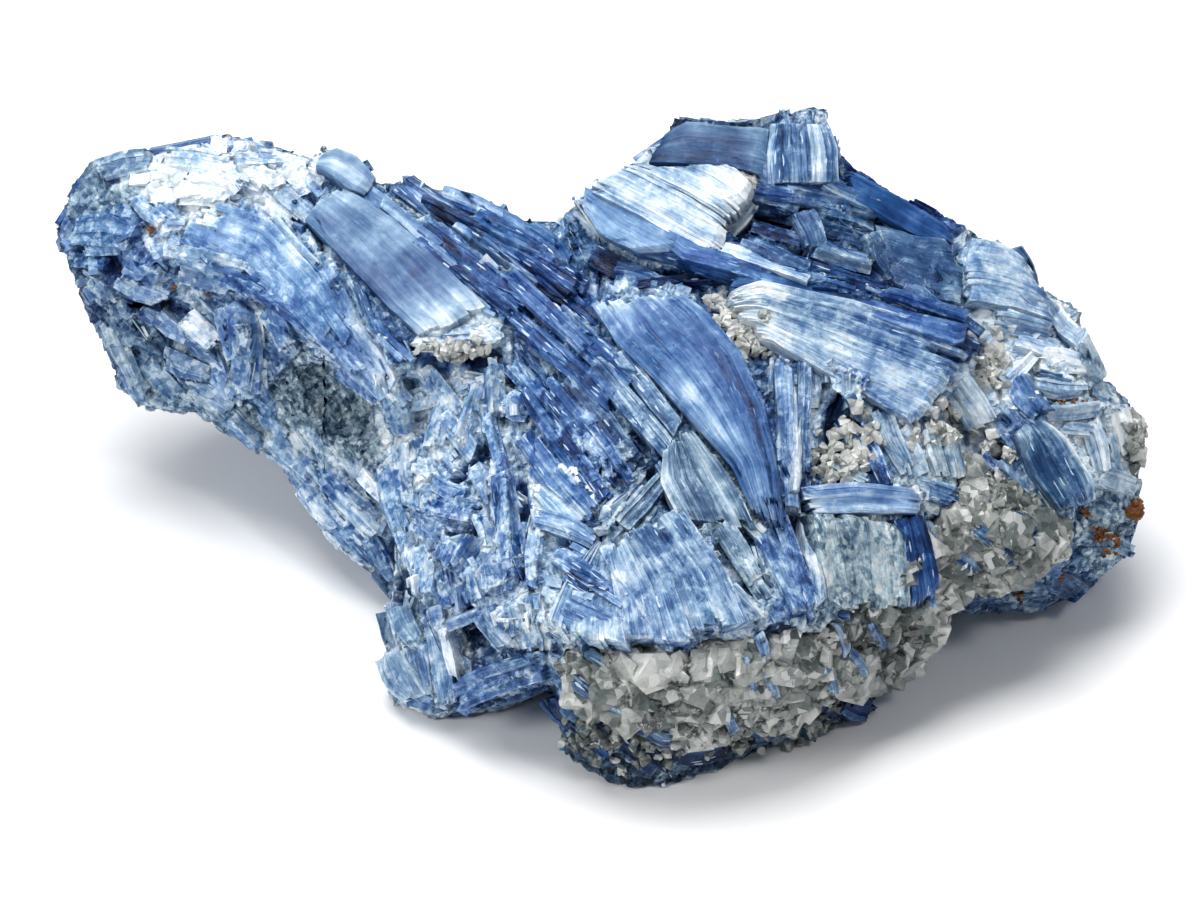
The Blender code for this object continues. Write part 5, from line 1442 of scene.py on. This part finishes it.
def quartz_finish():
    material, tree, shader = new_material("quartz_milky")
    place = add(tree, "TexCoord").outputs["Object"]
    tint = add(tree, "Attribute", attribute_name="tint").outputs["Fac"]
    # Clouds of 3 mm and flat breaks of 1.3 mm.
    clouds = add(tree, "TexNoise", {
        "Vector": place, "Scale": 0.30 * PER_MM, "Detail": 5.0, "Roughness": 0.65,
    })
    break_places = add(tree, "VectorMath", {0: place, "Scale": 0.75 * PER_MM}, operation="SCALE")
    face, tilt = facets(tree, break_places.outputs["Vector"])
    tone = add(tree, "Math", {0: tint, 1: 0.20}, operation="ADD")
    tone = weigh(tree, tone, clouds, 0.90)
    tone = weigh(tree, tone, face, 0.30)
    body = add(tree, "ValToRGB", {"Fac": tone}, stops=QUARTZ_GREYS)
    # Painted glints: a few break facets are painted near white, a painted highlight.
    bright = add(tree, "MapRange", {"Value": face, "From Min": 0.90, "From Max": 0.91, "To Max": 0.7})
    body = add(tree, "MixRGB", {"Fac": bright, "Color1": body, "Color2": colour("F2F4F2")})
    tree.links.new(body.outputs["Color"], shader.inputs["Base Color"])
    relief = weigh(tree, clouds, tilt, 1.6)
    bump = add(tree, "Bump", {"Height": relief, "Strength": 1.0, "Distance": 0.35 * MM})
    tree.links.new(bump.outputs["Normal"], shader.inputs["Normal"])
    shader.inputs["Roughness"].default_value = 0.18
    shader.inputs["Transmission Weight"].default_value = 0.45
    shader.inputs["IOR"].default_value = QUARTZ_IOR
    return material


QUARTZ_MILKY = quartz_finish()

quartz = closed_copy("quartz_matrix", "quartz_mass", 0.5)
QUARTZ_SPOTS, QUARTZ_NORMALS = spots_of(quartz.data)
lumps = np.array([
    stepped(spot, np.eye(3), 2.6, 2.6, 1.1, 1.2, 0.5)[0] + 0.3 * noise.noise(Vector(spot) / 0.9) - 0.6
    for spot in QUARTZ_SPOTS
])
put_back(quartz.data, QUARTZ_SPOTS + QUARTZ_NORMALS * lumps[:, None])
quartz.data.attributes.new("tint", "FLOAT", "POINT").data.foreach_set(
    "value", np.full(len(quartz.data.vertices), 0.30, np.float32)
)
quartz.data.materials.clear()
quartz.data.materials.append(QUARTZ_MILKY)
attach(quartz, "root")
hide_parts("quartz_matrix")


def grain_master(cuts):
    """One angular grain: a cube with flat breaks cut across it."""
    bpy.ops.mesh.primitive_cube_add(size=2.0)
    grain = bpy.context.object
    bpy.ops.object.mode_set(mode="EDIT")
    for normal, out in cuts:
        normal = unit(np.array(normal, float))
        bpy.ops.mesh.select_all(action="SELECT")
        bpy.ops.mesh.bisect(
            plane_co=normal * out, plane_no=normal, use_fill=True, clear_outer=True
        )
    bpy.ops.object.mode_set(mode="OBJECT")
    return read_master(grain)


GRAINS = [
    grain_master([((1, 1, 1), 0.9), ((-1, 1, 0.4), 0.8), ((0.3, -1, 1), 0.9), ((-1, -1, -0.6), 0.9)]),
    grain_master([((1, -1, 0.6), 0.8), ((-0.8, 0.3, 1), 0.8), ((1, 1, -1), 0.9), ((0.1, 1, 0.9), 0.8)]),
    grain_master([
        ((1, 0.2, 1), 0.8), ((-1, 0.4, 0.8), 0.8), ((0.1, 1, 1), 0.85), ((0, -1, 0.9), 0.85),
        ((1, 1, -0.8), 0.95),
    ]),
    grain_master([((1, 0.9, 0.3), 0.7), ((-1, 0.8, 0.3), 0.75), ((0.1, -1, 0.5), 0.7), ((1, -1, -1), 0.9)]),
]

# Patches of the quartz: u, v, reach and tone (0 smoky, 1 white).
QUARTZ_TONES = [
    (14.0, -31.0, 5.0, 0.44), (10.0, -33.0, 3.0, 0.06), (8.0, -26.0, 4.0, 0.74),
    (35.0, -22.0, 3.0, 0.12), (-2.0, -30.0, 5.0, 0.36), (25.0, -31.0, 5.0, 0.38),
    (11.0, -38.0, 3.0, 0.40), (52.0, -12.0, 6.0, 0.36), (33.0, 3.0, 3.0, 0.50),
    (46.0, -8.0, 4.0, 0.38), (38.0, -20.0, 3.0, 0.10), (16.0, -26.0, 3.0, 0.66),
    (58.0, -14.0, 5.0, 0.40), (0.0, -36.0, 5.0, 0.30),
]


def quartz_tone(place):
    u, v = float(np.dot(place - MIDDLE, ALONG)), float(np.dot(place - MIDDLE, UP))
    spots = np.array(QUARTZ_TONES)
    near = spots[int(np.argmin(np.hypot(spots[:, 0] - u, spots[:, 1] - v) / spots[:, 2]))]
    return float(near[3])


def pack_grains(sheaf, count, seed, smallest, largest):
    """Drops grains on the quartz, sunk in it by more than half."""
    chance = random.Random(seed)
    order = np.random.RandomState(seed).permutation(len(QUARTZ_SPOTS))
    laid = 0
    for number in order:
        spot, normal = QUARTZ_SPOTS[number].astype(float), QUARTZ_NORMALS[number].astype(float)
        if float(np.dot(normal, OUT)) < -0.4 or spot[2] < 1.5:
            continue
        size = smallest + (largest - smallest) * chance.random() ** 2.5
        place = spot + normal * (0.1 - 0.62 * size)
        shape = [size * chance.uniform(0.7, 1.2) for _ in range(3)]
        tone = quartz_tone(spot) + chance.gauss(0.0, 0.16)
        sheaf.drop(GRAINS[chance.randrange(len(GRAINS))], place, shape, tone, 0.0, 0.0, chance)
        laid += 1
        if laid == count:
            break


# Quartz also lies in pockets between the blades and is sprinkled under the front: u, v, how far it
# spreads along u and v, how many grains, their size and their tone.
QUARTZ_POCKETS = [
    (53.4, 0.4, 1.1, 1.0, 16, 0.42, 0.62), (55.6, -0.8, 0.9, 0.8, 12, 0.40, 0.50),
    (20.0, 15.6, 3.0, 3.4, 90, 0.50, 0.66), (34.0, 0.0, 2.6, 5.0, 70, 0.60, 0.58),
    (53.0, 12.0, 2.0, 3.0, 50, 0.50, 0.60), (73.2, 1.4, 1.0, 2.6, 40, 0.60, 0.44),
    # The two pockets on the next line, under the front, are toned dark as painted shade.
    (3.0, -39.0, 8.0, 3.0, 90, 0.50, 0.22), (20.0, -37.0, 12.0, 2.6, 110, 0.55, 0.20),
    (46.0, 3.0, 4.0, 3.0, 50, 0.50, 0.56), (29.6, -2.0, 1.2, 4.0, 30, 0.45, 0.50),
    (19.0, 36.4, 1.6, 1.0, 30, 0.55, 0.86), (16.6, 19.0, 1.4, 2.2, 40, 0.45, 0.70),
    (53.0, -6.0, 3.0, 2.6, 50, 0.60, 0.30), (-20.0, 13.6, 4.0, 1.0, 50, 0.45, 0.62),
]


def fill_pockets(sheaf, seed):
    chance = random.Random(seed)
    for u, v, spread_u, spread_v, count, size, tone in QUARTZ_POCKETS:
        for _ in range(count):
            a, b = u + chance.gauss(0.0, 0.55 * spread_u), v + chance.gauss(0.0, 0.55 * spread_v)
            hit, normal, _, _ = SKIN.ray_cast(Vector(point(a, b, CLEAR)), Vector(-OUT))
            if hit is None:
                continue
            shape = [size * chance.uniform(0.5, 1.7) for _ in range(3)]
            place = np.array(hit) + np.array(normal) * 0.1
            shade = tone + chance.gauss(0.0, 0.12)
            sheaf.drop(GRAINS[chance.randrange(len(GRAINS))], place, shape, shade, 0.0, 0.0, chance)


grains = Sheaf()
pack_grains(grains, 2300, 61, 0.32, 2.4)
fill_pockets(grains, 62)
grains.finish("quartz_grains", QUARTZ_MILKY)


# ---------------------------------------------------------------------------------------------
# Rust. Limonite, an earthy orange-brown iron stain, left as small crusts of grains in cracks.
def limonite_finish():
    material, tree, shader = new_material("limonite_earthy")
    place = add(tree, "TexCoord").outputs["Object"]
    clouds = add(tree, "TexNoise", {
        "Vector": place, "Scale": 1.5 * PER_MM, "Detail": 4.0, "Roughness": 0.6,
    })
    body = add(tree, "ValToRGB", {"Fac": clouds}, stops=[
        (0.25, "341B0B"), (0.5, "6C3C14"), (0.75, "A4702C"),
    ])
    tree.links.new(body.outputs["Color"], shader.inputs["Base Color"])
    shader.inputs["Roughness"].default_value = 0.85
    shader.inputs["IOR"].default_value = 1.5
    return material


# Each crust: u, v, how far it spreads along u and v, how many grains and their size.
RUST = [
    (73.3, -8.4, 0.9, 1.0, 34, 0.55), (70.0, -12.6, 1.5, 2.0, 20, 0.28), (68.2, -11.4, 1.0, 1.2, 11, 0.27),
    (65.4, 6.6, 3.2, 0.6, 17, 0.23), (62.8, -16.0, 0.9, 2.5, 16, 0.27), (57.0, -20.0, 1.0, 0.8, 8, 0.23),
    (57.7, 26.0, 0.6, 0.4, 8, 0.28), (-28.7, 10.0, 0.4, 0.3, 6, 0.26), (-61.7, 30.4, 0.4, 0.3, 6, 0.24),
    (-69.5, 31.8, 0.3, 0.3, 5, 0.24), (-53.7, 21.3, 0.3, 0.2, 4, 0.22), (-58.6, 22.3, 0.3, 0.2, 4, 0.22),
    (66.0, -8.4, 0.5, 0.5, 6, 0.28),
]
chance = random.Random(71)
rust = Sheaf()
for u, v, spread_u, spread_v, count, size in RUST:
    for _ in range(count):
        a, b = u + chance.gauss(0.0, 0.5 * spread_u), v + chance.gauss(0.0, 0.5 * spread_v)
        place = point(a, b, depth(a, b) + 0.15)
        shape = [size * chance.uniform(0.6, 1.3) for _ in range(3)]
        rust.drop(GRAINS[chance.randrange(len(GRAINS))], place, shape, 0.5, 0.0, 0.0, chance)
rust.finish("limonite_crusts", limonite_finish())


# ---------------------------------------------------------------------------------------------
# Floor, light and camera. A plain white table under a large soft overhead light, with two
# smaller lamps that the cleavage faces glint in.
bpy.ops.mesh.primitive_plane_add(size=6.0, location=(0.0, 0.0, -0.0003))
floor = bpy.context.object
floor.name = "table"
floor_material, _, floor_shader = new_material("white_table")
floor_shader.inputs["Base Color"].default_value = colour("F6F6F6")
floor_shader.inputs["Roughness"].default_value = 0.9
floor.data.materials.append(floor_material)


def lamp(name, place, size, power):
    """A square soft light that looks at the specimen. Place and size are in millimetres."""
    light = bpy.data.lights.new(name, "AREA")
    light.shape = "SQUARE"
    light.size = size * MM
    light.energy = power
    obj = bpy.data.objects.new(name, light)
    obj.location = Vector(place) * MM
    aim = Vector(MIDDLE) * MM - obj.location
    obj.rotation_euler = aim.to_track_quat("-Z", "Y").to_euler()
    bpy.context.scene.collection.objects.link(obj)


lamp("overhead", (-80, 140, 800), 640, 8.9)
lamp("window", (-650, -450, 500), 260, 4.0)
lamp("glint", (350, -420, 700), 110, 1.2)

world = bpy.data.worlds.new("studio")
bpy.context.scene.world = world
world.use_nodes = True
world.node_tree.nodes["Background"].inputs["Color"].default_value = colour("E8EEF6")
world.node_tree.nodes["Background"].inputs["Strength"].default_value = 0.235

PICTURE_WIDTH_PX = 1200
MM_PER_PX = 0.136  # at the specimen's middle
CAMERA_AWAY = 1200.0
camera_data = bpy.data.cameras.new("camera")
camera_data.sensor_width = 36.0
camera_data.lens = camera_data.sensor_width * CAMERA_AWAY / (PICTURE_WIDTH_PX * MM_PER_PX)
camera_data.clip_start = 0.01
camera = bpy.data.objects.new("camera", camera_data)
camera.location = Vector(point(0.0, 0.0, CAMERA_AWAY)) * MM
camera.rotation_euler = (math.radians(90.0) - RISE, 0.0, 0.0)
bpy.context.scene.collection.objects.link(camera)
bpy.context.scene.camera = camera
bpy.context.scene.view_settings.view_transform = "Standard"
